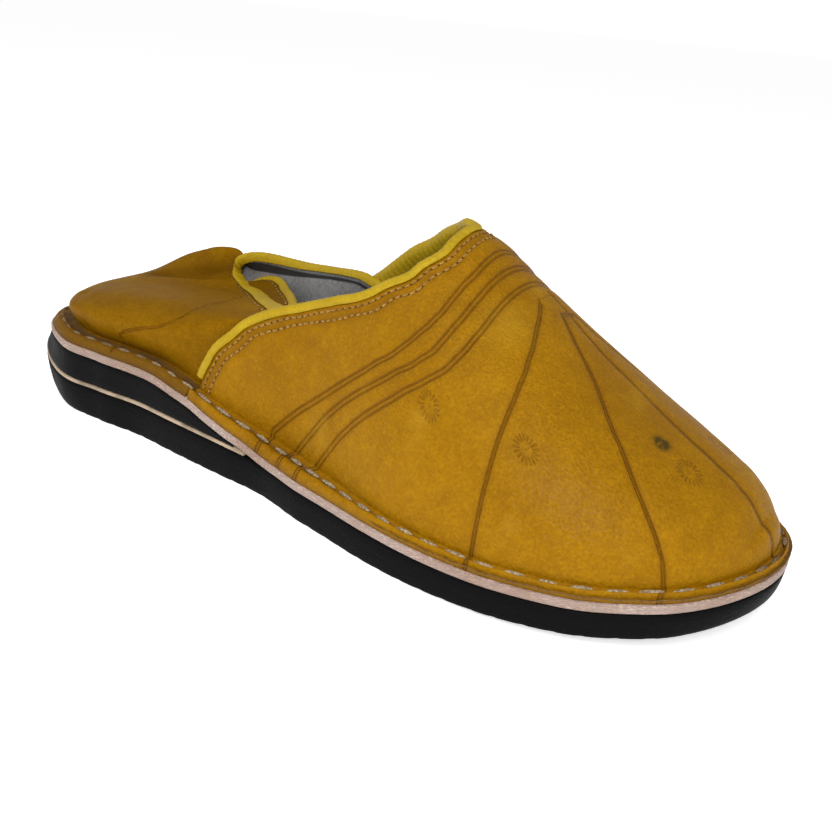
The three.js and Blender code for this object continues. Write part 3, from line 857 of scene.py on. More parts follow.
def rim_shape(shares):
    """Height of the rolled rim across the flange, with a valley where the stitches pull it down."""
    roll = RIM_ROLL * np.sin(math.pi * np.clip(shares / STITCH_SHARE, 0, 1))
    drop = -RIM_DROP * np.clip(1 - shares / DROP_SHARE, 0, 1) ** 2
    valley = -VALLEY_DEPTH * np.exp(-((shares - STITCH_SHARE) / VALLEY_WIDTH) ** 2)
    rise = BEND_RUN / 2 * np.clip((shares - BEND_SHARE) / (1 - BEND_SHARE), 0, 1)
    return roll + drop + valley + rise


def flange_row(side, x, shares):
    """Points of the flange beside the wall at x, from its cut edge in to the bend."""
    turn = foot_turn(side, np.minimum(x, VAMP_TIP))
    width = FLANGE_WIDTH * flange_share(along_at(turn))
    inset = FLANGE_SETBACK + (width - BEND_RUN - FLANGE_SETBACK) * shares
    px, py = outline_point(side, turn, inset)
    height = flange_top_z(px) + rim_shape(shares) + rim_pucker(side, turn, shares)
    return np.stack([px, py, height], -1)


low_turns = np.radians([0.25, 0.7, 1.3, 2.1, 3.0])  # the wall is steepest just over its bend
turns = np.concatenate([
    low_turns, np.linspace(FIRST_TURN, math.pi - FIRST_TURN, VAMP_TURNS), math.pi - low_turns[::-1],
])
rows_down = 1 - (1 - np.linspace(0, 1, VAMP_ROWS)) ** ROW_CROWDING
flange_shares = np.linspace(0, 1, FLANGE_COLUMNS)
vamp_rows = []
for share in rows_down:
    wall = vamp_point(down_the_vamp(turns, share), turns)
    near_flange = flange_row("near", down_the_vamp(0.0, share), flange_shares)
    far_flange = flange_row("far", down_the_vamp(math.pi, share), flange_shares)
    vamp_rows.append(np.concatenate([near_flange, wall, far_flange[::-1]]))
vamp_points = np.stack(vamp_rows)
print("vamp grid", vamp_points.shape[:2])

# %% [markdown]
# The tooled lines are pressed into the leather with a two-toothed wheel: three arcs that follow
# the throat, a spine down the middle and two rays each side. Every corner of the grid keeps its
# distance from each line, so that the finish can draw them sharper than the grid itself.

# %% Distances that the finish reads
crown = vamp_points.shape[1] // 2
girth = running_length(vamp_points)
girth = girth - (girth[:, crown:crown + 1] + girth[:, crown - 1:crown]) / 2
vamp_x = vamp_points[..., 0]

SPINE = [(205, 9.0), (219, 6.4), (234, 4.5), (248, 1.5), (258, -0.5), (270, -1.8), (281, -3.0)]
ARCS = [  # girth from the crown, place along
    [(0, 187.5), (12, 187.6), (20, 186.8), (26, 186.0), (34, 184.4), (41, 181.8), (52.5, 176.8),
     (63.5, 169.8), (74, 161.8), (82, 155.0), (93, 145.8), (101, 139.2), (112, 131.0)],
    [(0, 192.3), (13, 192.0), (23.5, 191.4), (31, 190.3), (39.5, 188.6), (49.5, 184.8), (59.5, 178.6),
     (69.5, 171.0), (77.5, 164.2), (87, 156.7), (98.5, 149.2), (112, 141.5)],
    [(0, 197.6), (13.5, 197.4), (22, 197.2), (30.5, 196.3), (39.5, 194.4), (52, 189.4), (63, 182.5),
     (71.5, 176.0), (79, 170.0), (86.5, 164.6), (94.5, 159.6), (112, 150.5)],
]
SIDE_RAY = [(0, 202.0), (3.2, 203.8), (12, 207.6), (22.5, 211.0), (30, 212.5), (42, 213.6), (52, 214.2),
            (60, 214.8), (84, 215.6)]
FRONT_RAY = [(-3.2, 208.0), (2.5, 215.8), (7.7, 223.4), (12.8, 229.2), (19.2, 236.2), (23.2, 241.4),
             (27.8, 246.6), (31.5, 251.2), (34.9, 255.6), (37.2, 259.0), (39.6, 261.4), (46, 263.0)]
STAMPS = [(58.0, 192.5), (44.5, 221.5), (12.7, 257.3)]
FAR_AWAY = 9.0
STAMP_REACH = 7.0
FAN_START = 199.5
SPINE_LEAN = 0.97


def line_distance(table, away):
    """Signed distance from a line given as rows of girth and place along."""
    curve = smooth_curve(table, 1)
    slope = curve(away + 0.5) - curve(away - 0.5)
    return (vamp_x - curve(away)) / np.hypot(1, slope)


spine_girth = smooth_curve(SPINE, 1)(vamp_x)
from_spine = np.where(girth < spine_girth, -girth, girth - 2 * spine_girth)
before_fan = vamp_x < FAN_START


def cut_off(distance, where):
    """Moves a line's distances far away in part of the grid, on the side where they already are."""
    return np.where(where & (np.abs(distance) < FAR_AWAY), np.copysign(FAR_AWAY, distance), distance)


arc_marks = np.stack([line_distance(rows, np.abs(girth)) for rows in ARCS], -1)
side_ray = cut_off(line_distance(SIDE_RAY, from_spine), from_spine < 1)
front_ray = line_distance(FRONT_RAY, from_spine)
spine_line = (girth - spine_girth) * SPINE_LEAN
ray_marks = cut_off(np.stack([side_ray, front_ray, spine_line], -1), before_fan[..., None])

stamp_offsets = np.stack([
    np.stack([vamp_x - x, np.abs(girth) - g, np.zeros_like(girth)], -1) for g, x in STAMPS
])
nearest = np.argmin(np.linalg.norm(stamp_offsets, axis=-1), axis=0)
stamp_marks = np.take_along_axis(stamp_offsets, nearest[None, ..., None], 0)[0].copy()
stamp_marks[..., 2] = np.linalg.norm(stamp_marks, axis=-1) < STAMP_REACH

run_down = running_length(vamp_points.transpose(1, 0, 2)).T
edge_way = unit(np.gradient(vamp_points[0], axis=0))
down_way = unit(vamp_points[1] - vamp_points[0])
lean = np.linalg.norm(np.cross(edge_way, down_way), axis=1)
from_throat = run_down * lean
bend_near, bend_far = girth[:, FLANGE_COLUMNS], girth[:, -FLANGE_COLUMNS - 1]
from_rim = np.minimum(girth - bend_near[:, None], bend_far[:, None] - girth)
half_shares = np.concatenate([flange_shares, np.full(crown - FLANGE_COLUMNS, 2.0)])
rim_shares = np.concatenate([half_shares, half_shares[::-1]])
rim_marks = np.broadcast_to(rim_shares, girth.shape)
print("girth at the throat", round(float(-girth[0, 0]), 1), "mm to the near rim")

# %% [markdown]
# Worn leather over a foot is not a perfect surface. A few broad, shallow swells are pressed into
# it first: a soft hollow behind the toe puff and a slack fold beside the throat. Then come a trough
# along the throat, where two rows of stitches pull, and the dips of the tooled lines and stamps.

# %% Soft troughs and ridges, then the vamp itself
vamp_normals = grid_normals(vamp_points)


def swell(points, centre, size, height):
    """A soft hump or hollow around centre, all in millimetres."""
    apart = (points - np.array(centre)) / np.array(size)
    return height * np.exp(-(apart ** 2).sum(-1))


VAMP_SWELLS = [  # centre, size, height
    ((262, -20, 38), (10, 16, 14), -0.9),
    ((262, 18, 38), (10, 16, 14), -0.7),
    ((150, -33, 40), (13, 12, 20), -0.8),
    ((128, -30, 42), (10, 10, 13), 0.8),
    ((150, 32, 40), (14, 12, 20), -0.8),
    ((205, -40, 44), (16, 12, 18), 0.6),
    ((232, -46, 26), (22, 9, 9), -0.6),
    ((190, -20, 74), (10, 12, 9), -0.6),
    ((222, 0, 62), (14, 16, 9), -0.5),
]
STITCH_TROUGH = (0.45, 3.0, 2.2)  # depth, distance from the throat, width
TOOLED_TROUGH = (0.3, 1.3)  # depth, width
STAMP_DIP = (0.2, 4.0)  # depth, radius


def rising(distance, over):
    """0 at an edge and 1 from a given distance on."""
    return np.clip(distance / over, 0, 1)


press = sum(swell(vamp_points, *row) for row in VAMP_SWELLS)
depth, middle, width = STITCH_TROUGH
trough = -depth * np.exp(-((from_throat - middle) / width) ** 2)
nearest_line = np.abs(np.concatenate([arc_marks, ray_marks], -1)).min(-1)
depth, width = TOOLED_TROUGH
pressed = -depth * np.exp(-(nearest_line / width) ** 2)
depth, width = STAMP_DIP
from_stamp = np.linalg.norm(stamp_marks[..., :2], axis=-1)
pressed -= depth * np.exp(-(from_stamp / width) ** 4) * stamp_marks[..., 2]
relief = press * rising(from_rim, 6) * rising(from_throat, 5)
relief += trough * rising(from_rim, 4) + pressed * rising(from_rim, 2)
vamp_formed = vamp_points + vamp_normals * relief[..., None]
vamp = bent_grid("mustard_vamp", vamp_formed, {
    "arcs": arc_marks, "rays": ray_marks, "stamp": stamp_marks, "from_throat": from_throat,
    "rim": rim_marks,
}, flip=True)
mark_rim(vamp)
add_wall(vamp, WALL)
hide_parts("vamp")
print("vamp", len(vamp.data.polygons), "faces, normal over the instep", vamp_normals[20, crown].round(2))

# %% [markdown]
# ## The quarter
#
# The heel part has been trodden down. Its leather rises from the sole, folds over at the back of
# the heel and slopes forward as a lid, while the far wall still stands and rolls inwards. It is
# built as a maker would cut ribs for a boat: each rib starts at the sole and ends at the top edge.

# %% The quarter's ribs
TUCK_LENGTH = 13
SEAM_GAP = 1.2
BINDING_WIDTH = 2.6
QUARTER_TOP = math.radians(33)
HEEL_SEAT_ALONG = 0.15
RIB_POINTS = 10
QUARTER_INSET = WALL + LAP_CLEARANCE

QUARTER_RIBS = [  # side, foot, wall, brow, edge; points are along, side, up
    ("near", 0.270, (0.295, -0.85, 0.24), (0.355, -0.80, 0.64), (0.428, -0.60, 0.86)),
    ("near", 0.210, (0.225, -0.85, 0.26), (0.290, -0.70, 0.60), (0.385, -0.36, 0.79)),
    ("near", 0.140, (0.150, -0.82, 0.27), (0.215, -0.56, 0.55), (0.345, -0.10, 0.715)),
    ("near", 0.075, (0.085, -0.62, 0.23), (0.150, -0.34, 0.48), (0.315, 0.13, 0.648)),
    ("near", 0.000, (0.034, 0.00, 0.19), (0.110, 0.04, 0.42), (0.286, 0.33, 0.592)),
    ("far", 0.065, (0.062, 0.58, 0.30), (0.105, 0.58, 0.50), (0.258, 0.48, 0.56)),
    ("far", 0.120, (0.115, 0.82, 0.60), (0.150, 0.75, 0.76), (0.238, 0.596, 0.555)),
    ("far", 0.160, (0.160, 0.87, 0.70), (0.190, 0.80, 0.86), (0.2167, 0.687, 0.61)),
    ("far", 0.195, (0.195, 0.89, 0.66), (0.207, 0.86, 0.86), (0.2115, 0.755, 0.69)),
    ("far", 0.225, (0.222, 0.905, 0.52), (0.222, 0.905, 0.73), (0.2175, 0.796, 0.770)),
    ("far", 0.250, (0.245, 0.91, 0.40), (0.244, 0.908, 0.68), (0.242, 0.840, 0.845)),
    ("far", 0.290, (0.295, 0.89, 0.28), (0.307, 0.885, 0.60), (0.3275, 0.86, 0.875)),
]


def quarter_seat_z(x):
    return above_midsole(x, CLEARANCE + QUARTER_WALL)


HEEL_SEAT_Z = quarter_seat_z(HEEL_SEAT_ALONG * LENGTH)


def share_point(along, side, up):
    return np.array([along * LENGTH, side * HEEL_WIDTH / 2, HEEL_SEAT_Z + up * QUARTER_RISE])


def catmull(points, t):
    """A centripetal curve through points, at t from 0 at the first to 1 at the last."""
    points = np.asarray(points, float)
    at = (len(points) - 1) * np.asarray(t, float)
    i = np.clip(np.floor(at).astype(int), 0, len(points) - 2)
    w = (at - i)[:, None]
    padded = np.concatenate([2 * points[:1] - points[1:2], points, 2 * points[-1:] - points[-2:-1]])
    p0, p1, p2, p3 = (padded[i + k] for k in range(4))
    d0, d1, d2 = (
        np.sqrt(np.linalg.norm(b - a, axis=1))[:, None] for a, b in ((p0, p1), (p1, p2), (p2, p3))
    )
    d1 = np.where(d1 < 1e-4, 1, d1)
    d0, d2 = np.where(d0 < 1e-4, d1, d0), np.where(d2 < 1e-4, d1, d2)
    leave = ((p1 - p0) / d0 - (p2 - p0) / (d0 + d1) + (p2 - p1) / d1) * d1
    arrive = ((p2 - p1) / d1 - (p3 - p1) / (d1 + d2) + (p3 - p2) / d2) * d1
    cubic = 2 * p1 - 2 * p2 + leave + arrive
    square = -3 * p1 + 3 * p2 - 2 * leave - arrive
    return p1 + w * (leave + w * (square + w * cubic))


def quarter_turn(side, x):
    back = foot_point("near", np.array(0.0), QUARTER_INSET)[0]
    return 0.0 if x <= back else float(foot_turn(side, x, QUARTER_INSET))


def quarter_foot(side, x, z_of):
    px, py = foot_point(side, np.array(quarter_turn(side, x)), QUARTER_INSET)
    return np.array([px, py, z_of(px)], float)


def seam_rib(side, ahead):
    foot_x = throat_x(0.0) + ahead
    seat = quarter_seat_z if ahead < -CLEARANCE else (lambda x: above_midsole(x, CLEARANCE))
    turn = np.linspace(FIRST_TURN, QUARTER_TOP, RIB_POINTS - 1)
    turn = turn if side == "near" else math.pi - turn
    x = throat_x(turn) + ahead
    under = vamp_point(x, turn) - vamp_normal(x, turn) * (WALL + LAP_CLEARANCE)
    return np.concatenate([[quarter_foot(side, foot_x, seat)], under])


def open_rib(side, foot, wall, brow, edge):
    base = quarter_foot(side, foot * LENGTH, quarter_seat_z)
    stops = [base, share_point(*wall), share_point(*brow), share_point(*edge)]
    return catmull(stops, np.linspace(0, 1, RIB_POINTS))


AHEADS = [TUCK_LENGTH, TUCK_LENGTH / 2, -CLEARANCE, -SEAM_GAP, -SEAM_GAP - BINDING_WIDTH]
ribs = [seam_rib("near", ahead) for ahead in AHEADS]
ribs += [open_rib(*row) for row in QUARTER_RIBS]
ribs += [seam_rib("far", ahead) for ahead in AHEADS[::-1]]
ribs = np.stack(ribs)
print("ribs", ribs.shape)

# %% [markdown]
# The ribs are joined by smooth curves both ways. Creases come last: a crumple up the back of the
# heel, the valley where the lid folds down from the far wall, and the puckers that fan out of it.

# %% The quarter's surface and its creases
QUARTER_ROWS = 230
QUARTER_COLUMNS = 64
RIM_COLUMNS = 12
FOLD_FADE = 0.08
SEAM_RIBS = len(AHEADS)

places = np.linspace(0, len(ribs) - 1, QUARTER_ROWS)
along_ribs = np.stack([
    catmull(ribs[:, j], places / (len(ribs) - 1)) for j in range(RIB_POINTS)
], 1)
quarter_wall = np.stack([
    catmull(row, np.linspace(0, 1, QUARTER_COLUMNS)) for row in along_ribs
])
quarter_shares = np.linspace(0, 1, RIM_COLUMNS)[:-1]
quarter_rows = []
for spot, wall in zip(places, quarter_wall):
    side = "near" if wall[0, 1] < 0 else "far"
    turn = quarter_turn(side, wall[0, 0])
    from_end = min(spot, len(ribs) - 1 - spot)
    spread = min(max(from_end - 2, 0), 1)
    rim_x, rim_y = outline_point(side, np.array(turn), FLANGE_SETBACK)
    rim = np.array([rim_x, rim_y, quarter_seat_z(rim_x)], float)
    rim = wall[0] + (rim - wall[0]) * spread
    rim_row = rim + (wall[0] - rim) * quarter_shares[:, None]
    rim_row[:, 2] += (rim_shape(quarter_shares) + rim_pucker(side, turn, quarter_shares)) * spread
    quarter_rows.append(np.concatenate([rim_row, wall]))
quarter_points = np.stack(quarter_rows)
quarter_normals = -grid_normals(quarter_points)
if np.median(quarter_normals[:, 30, 2]) < 0:
    quarter_normals = -quarter_normals


def fold(points, start, end, width, depth):
    """A soft trough, or a ridge where depth is negative, along the line from start to end."""
    start, end = np.array(start, float), np.array(end, float)
    way = end - start
    share = np.clip(((points - start) @ way) / (way @ way), 0, 1)
    off = np.linalg.norm(points - start - share[..., None] * way, axis=-1)
    taper = np.sin(math.pi * np.clip(share, 0.02, 0.98)) ** 0.5
    return -depth * taper * np.exp(-(off / width) ** 2)


QUARTER_FOLDS = [  # start, end, width, depth
    ((41, -27, 30), (21, -12, 38), 1.8, 1.3),
    ((46, -27, 31), (27, -12, 39), 2.6, -0.7),
    ((34, -25, 30), (16, -10, 36), 2.4, -0.6),
    ((30, 14, 40), (66, 24, 47), 2.9, 2.6),
    ((44, 27, 52), (64, 30, 54), 3.0, -0.9),
    ((52, 21, 45), (74, 12, 47), 2.6, -0.8),
    ((58, 8, 45), (82, 2, 48), 3.6, -0.5),
    ((40, -6, 41), (70, -14, 46), 4.5, 0.6),
    ((60, -26, 36), (96, -27, 46), 4.5, -0.7),
    ((16, 14, 30), (34, 24, 42), 3.0, 0.8),
]
creases = sum(fold(quarter_points, *row) for row in QUARTER_FOLDS)
open_part = rising(places - SEAM_RIBS + 1, 0.5) * rising(len(ribs) - SEAM_RIBS - places, 0.5)
up_the_rib = np.concatenate([np.zeros(RIM_COLUMNS - 1), np.linspace(0, 1, QUARTER_COLUMNS)])
held = open_part[:, None] * rising(up_the_rib, FOLD_FADE) * rising(1 - up_the_rib, FOLD_FADE)
quarter_formed = quarter_points + quarter_normals * (creases * held)[..., None]
print("deepest crease", round(float((creases * held).min()), 2), "mm")

# %% [markdown]
# The finish needs to know four more things of the quarter: where its rim is, how far each corner is
# from the one tooled line, how near it lies to the valley of the fold, where shade is painted, and
# where the lining hangs away from the top edge, where the gap's shade is painted near black.

# %% Distances on the quarter, then the quarter itself
LINE_REACH = 5
quarter_run = running_length(quarter_points)
from_top = quarter_run[:, -1:] - quarter_run
quarter_rim = np.concatenate([quarter_shares, np.full(QUARTER_COLUMNS, 2.0)])
quarter_rim = np.broadcast_to(quarter_rim, from_top.shape)
QUARTER_LINE = [  # the tooled line that climbs from the rim over the lid
    (59, -32, 26), (58.7, -28.7, 31.8), (68.4, -30.3, 36.7), (79.8, -29.8, 40.6), (87.2, -27.8, 45),
    (89.5, -20.3, 47.7), (91, -10.8, 48.9), (88.3, -1, 48.5), (84, 6, 47.5),
]
line_path = catmull(QUARTER_LINE, np.linspace(0, 1, 160))
line_apart = quarter_formed[:, :, None] - line_path
line_height = (line_apart * quarter_normals[:, :, None]).sum(-1)
line_away = np.sqrt(np.maximum((line_apart ** 2).sum(-1) - line_height ** 2, 0))
line_away = np.where(np.abs(line_height) < LINE_REACH, line_away, FAR_AWAY).min(-1)
# Rows and distances from the top edge of the band where shade is painted on the lining.
GAP_PLACES = [13.0, 15.0, 16.5]
GAP_STARTS = [-1.0, 0.5, 1.6]
GAP_ENDS = [5.5, 5.5, 4.2]
gap_start = np.interp(places, GAP_PLACES, GAP_STARTS)[:, None]
gap_end = np.interp(places, GAP_PLACES, GAP_ENDS)[:, None]
lining_gap_shade = rising(from_top - gap_start, 0.5) * rising(gap_end - from_top, 0.5)
# The valley line, near which shade is painted on the quarter.
VALLEY = [(30, 14, 40), (46, 20, 44), (58, 24, 47), (66, 25, 48)]
valley_path = catmull(VALLEY, np.linspace(0, 1, 60))
valley_shade_distance = np.linalg.norm(quarter_formed[:, :, None] - valley_path, axis=-1).min(-1)
quarter = bent_grid("folded_quarter", quarter_formed, {
    "rim": quarter_rim, "tooled": line_away, "valley": valley_shade_distance, "gap": lining_gap_shade,
})
mark_rim(quarter)
add_wall(quarter, QUARTER_WALL)
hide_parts("quarter")
print("quarter", len(quarter.data.polygons), "faces, normal on the lid", quarter_normals[60, 60].round(2))

# %% [markdown]
# ## Bindings
#
# A strip of thin yellow leather is folded over each raw edge, rolled tight on the outside and
# turned back a few millimetres on the lining. Its section is drawn once, with the leather's edge
# at zero, and swept along the edge. Fine puckers come from the pull of the stitches.

# %% The folded strip
BINDING_SIDES = 28
STITCH_PITCH = 2.4
CLOSED_END = 0.6
THROAT_TUCK = 3.4
EDGE_TUCK = 0.1


def binding_section(wall, shift, inner_leg, outer_leg=0.1):
    """The strip's section: distance past the leather's edge, and height over its outer face."""
    width = BINDING_WIDTH + shift - 0.25
    return [
        (-outer_leg, 0.05), (-outer_leg - 0.05, 0.35), (-outer_leg + 0.2, 0.62),
        (0.4, 0.85), (width - 1.0, 1.0), (width - 0.1, 0.75),
        (width + 0.45, 0.0), (width + 0.45, -0.75), (width, -1.5), (width - 0.9, -wall - 0.35),
        (0.2, -wall - 0.75), (-inner_leg + 0.4, -wall - 0.7), (-inner_leg, -wall - 0.45),
        (-inner_leg + 0.3, -wall - 0.1), (0.1, -wall - 0.1), (0.3, -wall / 2), (0.1, 0.0),
    ]


def resampled(points, count, *others):
    """Points at even steps along a line, with the other arrays that belong to them."""
    run = running_length(points)
    even = np.linspace(0, run[-1], count)
    return [
        np.stack([np.interp(even, run, column) for column in values.T], -1)
        for values in (points, *others)
    ]


def rolled_binding(name, edge, normals, away, section, count, widths=None):
    """Sweeps the section along an edge; away points off the leather, widths widens it by place."""
    widths = np.ones(len(edge)) if widths is None else widths
    edge, normals, away, widths = resampled(edge, count, normals, away, widths[:, None])
    run = running_length(edge)
    forward = unit(np.gradient(edge, axis=0))
    out = unit(away - (away * forward).sum(1, keepdims=True) * forward)
    upright = np.cross(forward, out)
    upright *= np.sign((upright * normals).sum(1).mean())
    loop = catmull(section + section[:1], np.linspace(0, 1, BINDING_SIDES + 1))
    middle = loop.mean(0)
    pucker = 0.02 * np.sin(2 * math.pi * run / STITCH_PITCH)
    pucker += 0.03 * np.sin(run * 0.31) * np.sin(run * 0.13 + 1)
    rows = []
    for i in range(count):
        ends = min(run[i], run[-1] - run[i])
        swell_here = (1 + pucker[i]) * min(1, 0.02 + ends / CLOSED_END)
        spot = middle + (loop - middle) * swell_here
        rows.append(edge[i] + spot[:, :1] * widths[i, 0] * out[i] + spot[:, 1:2] * upright[i])
    marks = np.broadcast_to(run[:, None], (count, BINDING_SIDES + 1))
    return bent_grid(name, np.stack(rows), {"along": marks}, closed=True)


def evened(vectors, reach=6):
    """The same directions with each averaged over its neighbours, for a tight turn."""
    padded = np.pad(vectors, ((reach, reach), (0, 0)), mode="edge")
    return unit(sum(padded[k:k + len(vectors)] for k in range(2 * reach + 1)))


throat_turns = np.linspace(FIRST_TURN, math.pi - FIRST_TURN, 500)
throat_edge = vamp_point(throat_x(throat_turns), throat_turns)
throat_normals = vamp_normal(throat_x(throat_turns), throat_turns)
throat_away = vamp_point(throat_x(throat_turns) - 1, throat_turns) - throat_edge
vamp_binding = rolled_binding(
    "throat_binding", throat_edge, throat_normals, throat_away, binding_section(WALL, 0.0, THROAT_TUCK), 520,
)
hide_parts("vamp_binding")

print("throat binding", round(float(running_length(throat_edge)[-1])), "mm long")

# %% [markdown]
# The band on the lid is almost twice as wide as the roll on the far wall. It narrows in the tight
# turn between them, where the strip is pinched.

# %% The quarter's binding
BAND_PLACES = [4.1, 5.2, 11.0, 12.0, 13.0, 14.0, 15.5, 16.5]
BAND_WIDTHS = [1.1, 1.85, 1.85, 1.6, 1.1, 1.1, 0.95, 0.75]
OPEN_FROM, OPEN_TO = SEAM_RIBS - 0.9, len(ribs) - SEAM_RIBS + 3.2
open_rows = (places >= OPEN_FROM) & (places <= OPEN_TO)
quarter_edge = quarter_formed[open_rows, -1]
quarter_edge_normals = evened(quarter_normals[open_rows, -1])
quarter_away = evened(quarter_edge - quarter_formed[open_rows, -4])
band_width = np.interp(places[open_rows], BAND_PLACES, BAND_WIDTHS)
quarter_binding = rolled_binding(
    "quarter_edge_binding", quarter_edge, quarter_edge_normals, quarter_away,
    binding_section(QUARTER_WALL, 0.1, EDGE_TUCK), 460, band_width,
)
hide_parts("quarter_binding")
print("quarter binding", round(float(running_length(quarter_edge)[-1])), "mm long")

# %% [markdown]
# Under the lid a pleat of the quarter sticks out, bound like the rest. It is a small curved sheet
# between the lid's edge and its own, a little lower than the lid so that it tucks beneath.

# %% The tucked pleat and its binding
PLEAT_WALL = 1.4
PLEAT_ROOT = [  # under the lid's edge, from the far side to the near side
    (62, 24, 43.5), (68, 19.5, 41.6), (76, 14, 41), (86, 6, 42.2), (98, -5, 44.8), (111, -19, 47.5),
]
PLEAT_EDGE = [  # the pleat's own edge
    (66, 26.5, 42.2), (72, 27.5, 44.9), (79, 26, 46.8), (86.5, 21.5, 47.6), (94, 14.5, 48.2),
    (104, 5.5, 49.3), (113.5, -4.5, 50.6), (119, -11.5, 50.4), (121.5, -18.5, 48.4),
]
PLEAT_STEPS = 90
# The pleat's valley mark, so that the quarter's finish paints shade over the whole pleat.
PLEAT_SHADE = 3.0
PLEAT_BULGE = 0.7
PLEAT_COLUMNS = 16
pleat_run = np.linspace(0, 1, PLEAT_STEPS)
pleat_root, pleat_edge = catmull(PLEAT_ROOT, pleat_run), catmull(PLEAT_EDGE, pleat_run)
pleat_across = np.linspace(0, 1, PLEAT_COLUMNS)[None, :, None]
pleat_points = pleat_root[:, None] * (1 - pleat_across) + pleat_edge[:, None] * pleat_across
pleat_points[..., 2] += PLEAT_BULGE * np.sin(math.pi * pleat_across[..., 0])
pleat_normals = grid_normals(pleat_points)
pleat_normals *= np.sign(np.median(pleat_normals[..., 2]))
pleat_width = np.linalg.norm(pleat_edge - pleat_root, axis=1)[:, None]
pleat_from_edge = pleat_width * (1 - pleat_across[..., 0])
pleat_far = np.full(pleat_from_edge.shape, FAR_AWAY)
pleat_upwards = grid_normals(pleat_points)[PLEAT_STEPS // 2, PLEAT_COLUMNS // 2, 2] > 0
pleat = bent_grid("tucked_pleat", pleat_points, {
    "rim": np.full(pleat_from_edge.shape, 2.0), "tooled": pleat_far,
    "valley": np.full(pleat_from_edge.shape, PLEAT_SHADE),
}, flip=pleat_upwards)
add_wall(pleat, PLEAT_WALL)
pleat_binding = rolled_binding(
    "pleat_binding", pleat_edge, pleat_normals[:, -1], pleat_edge - pleat_root,
    binding_section(PLEAT_WALL, -0.1, 1.0, 0.3), 220,
)
print("pleat", len(pleat.data.polygons), len(pleat_binding.data.polygons), "faces")
print("bindings", len(vamp_binding.data.polygons), len(quarter_binding.data.polygons), "faces")

# %% [markdown]
# ## Stitches
#
# Thick waxed thread runs round the rim in long steps and holds the upper on the sole. Fine thread
# holds the bindings, in two rows of small stitches. A stitch is a flattened bead whose ends dive
# into the leather, and each row is one mesh.

# %% Making rows of stitches


def surface_line(points, normals, field, value, columns):
    """The line over a grid where the field, which grows down each column, reaches the value."""
    line, ups = [], []
    for j in columns:
        line.append([np.interp(value, field[:, j], points[:, j, k]) for k in range(3)])
        ups.append([np.interp(value, field[:, j], normals[:, j, k]) for k in range(3)])
    return np.array(line), unit(np.array(ups))


def stitch_row(name, line, ups, pitch, length, width, height, sink):
    """Stitches at an even pitch along a line on a surface, and the places between them."""
    run = running_length(line)
    spots = np.arange(pitch / 2, run[-1], pitch)
    bm = bmesh.new()
    gaps = []
    for number, spot in enumerate(spots):
        jitter = 0.07 * math.sin(number * 12.9898) * pitch
        reach = length / 2 * (1 + 0.12 * math.sin(number * 7.31))
        ends = [spot + jitter - reach, spot + jitter + reach]
        tail, head = (np.array([np.interp(at, run, line[:, k]) for k in range(3)]) for at in ends)
        up = unit(np.array([np.interp(spot, run, ups[:, k]) for k in range(3)]))
        centre = (tail + head) / 2 + up * (height * (0.5 + 0.1 * math.sin(number * 3.17)) - sink)
        way = unit(head - tail)
        side = unit(np.cross(up, way))
        up = np.cross(way, side)
        turn = Matrix([up, side, way]).transposed().to_4x4()
        size = Matrix.Diagonal((height / 2 * MM, width / 2 * MM, reach * MM, 1))
        spread = Matrix.Translation(Vector(place(centre))) @ turn @ size
        bmesh.ops.create_uvsphere(bm, u_segments=8, v_segments=6, radius=1, matrix=spread)
        gap = spot + pitch / 2
        gaps.append([np.interp(gap, run, line[:, k]) for k in range(3)])
    bmesh.ops.recalc_face_normals(bm, faces=bm.faces)
    return finish_mesh(name, bm), np.array(gaps)


print("stitch helper ready")

# %% [markdown]
# The fine rows follow the leather's edges at an even distance. A needle hole of painted shade lies in every
# gap.

# %% The fine rows
wall_columns = range(FLANGE_COLUMNS + 1, vamp_points.shape[1] - FLANGE_COLUMNS - 1)
fine_rows, hole_shade_rows = [], []


def needle_holes(name, spots, ups, size=0.42):
    """Dimples of painted shade where the needle went through, as dark flattened beads sunk in the leather.
    """
    bm = bmesh.new()
    for spot, up in zip(spots, ups):
        turn = Vector(up).to_track_quat("Z", "Y").to_matrix().to_4x4()
        shape = Matrix.Diagonal((size * MM, size * MM, 0.12 * MM, 1))
        spread = Matrix.Translation(Vector(place(spot))) @ turn @ shape
        bmesh.ops.create_uvsphere(bm, u_segments=8, v_segments=4, radius=1, matrix=spread)
    return finish_mesh(name, bm)


def fine_stitches(name, points, normals, field, distance, columns, pitch=STITCH_PITCH, length=1.75):
    """A row of small stitches at a distance from an edge, with a hole at both ends of each."""
    line, ups = surface_line(points, normals, field, distance, columns)
    row, gaps = stitch_row(name, line, ups, pitch, length, 0.85, 0.6, 0.12)
    run = running_length(line)
    at = [float(run[np.argmin(np.linalg.norm(line - gap, axis=1))]) for gap in gaps]
    gap_ups = unit(np.stack([np.interp(at, run, ups[:, k]) for k in range(3)], -1))
    fine_rows.append(row)
    hole_shade_rows.append(needle_holes(name + "_holes", gaps, gap_ups))


for number, distance in enumerate((1.4, 4.1)):
    fine_stitches(
        f"throat_stitches_{number}", vamp_formed, vamp_normals, from_throat, distance, wall_columns,
    )
lid_columns = np.flatnonzero((places > SEAM_RIBS + 0.4) & (places < len(ribs) - SEAM_RIBS - 0.6))
down_rib = quarter_formed.transpose(1, 0, 2)[::-1]
down_normals = quarter_normals.transpose(1, 0, 2)[::-1]
fine_stitches("lid_stitches", down_rib, down_normals, from_top.T[::-1], 1.9, lid_columns, 6.0, 2.2)
fine_stitches(
    "pleat_stitches", pleat_points.transpose(1, 0, 2)[::-1], pleat_normals.transpose(1, 0, 2)[::-1],
    pleat_from_edge.T[::-1], 1.7, range(14, PLEAT_STEPS - 4), 4.6, 2.0,
)
print("fine stitches", [len(row.data.polygons) for row in fine_rows])

# %% [markdown]
# The thick row lies in the valley of the rim, half sunk, where the thread pulls the leather down.

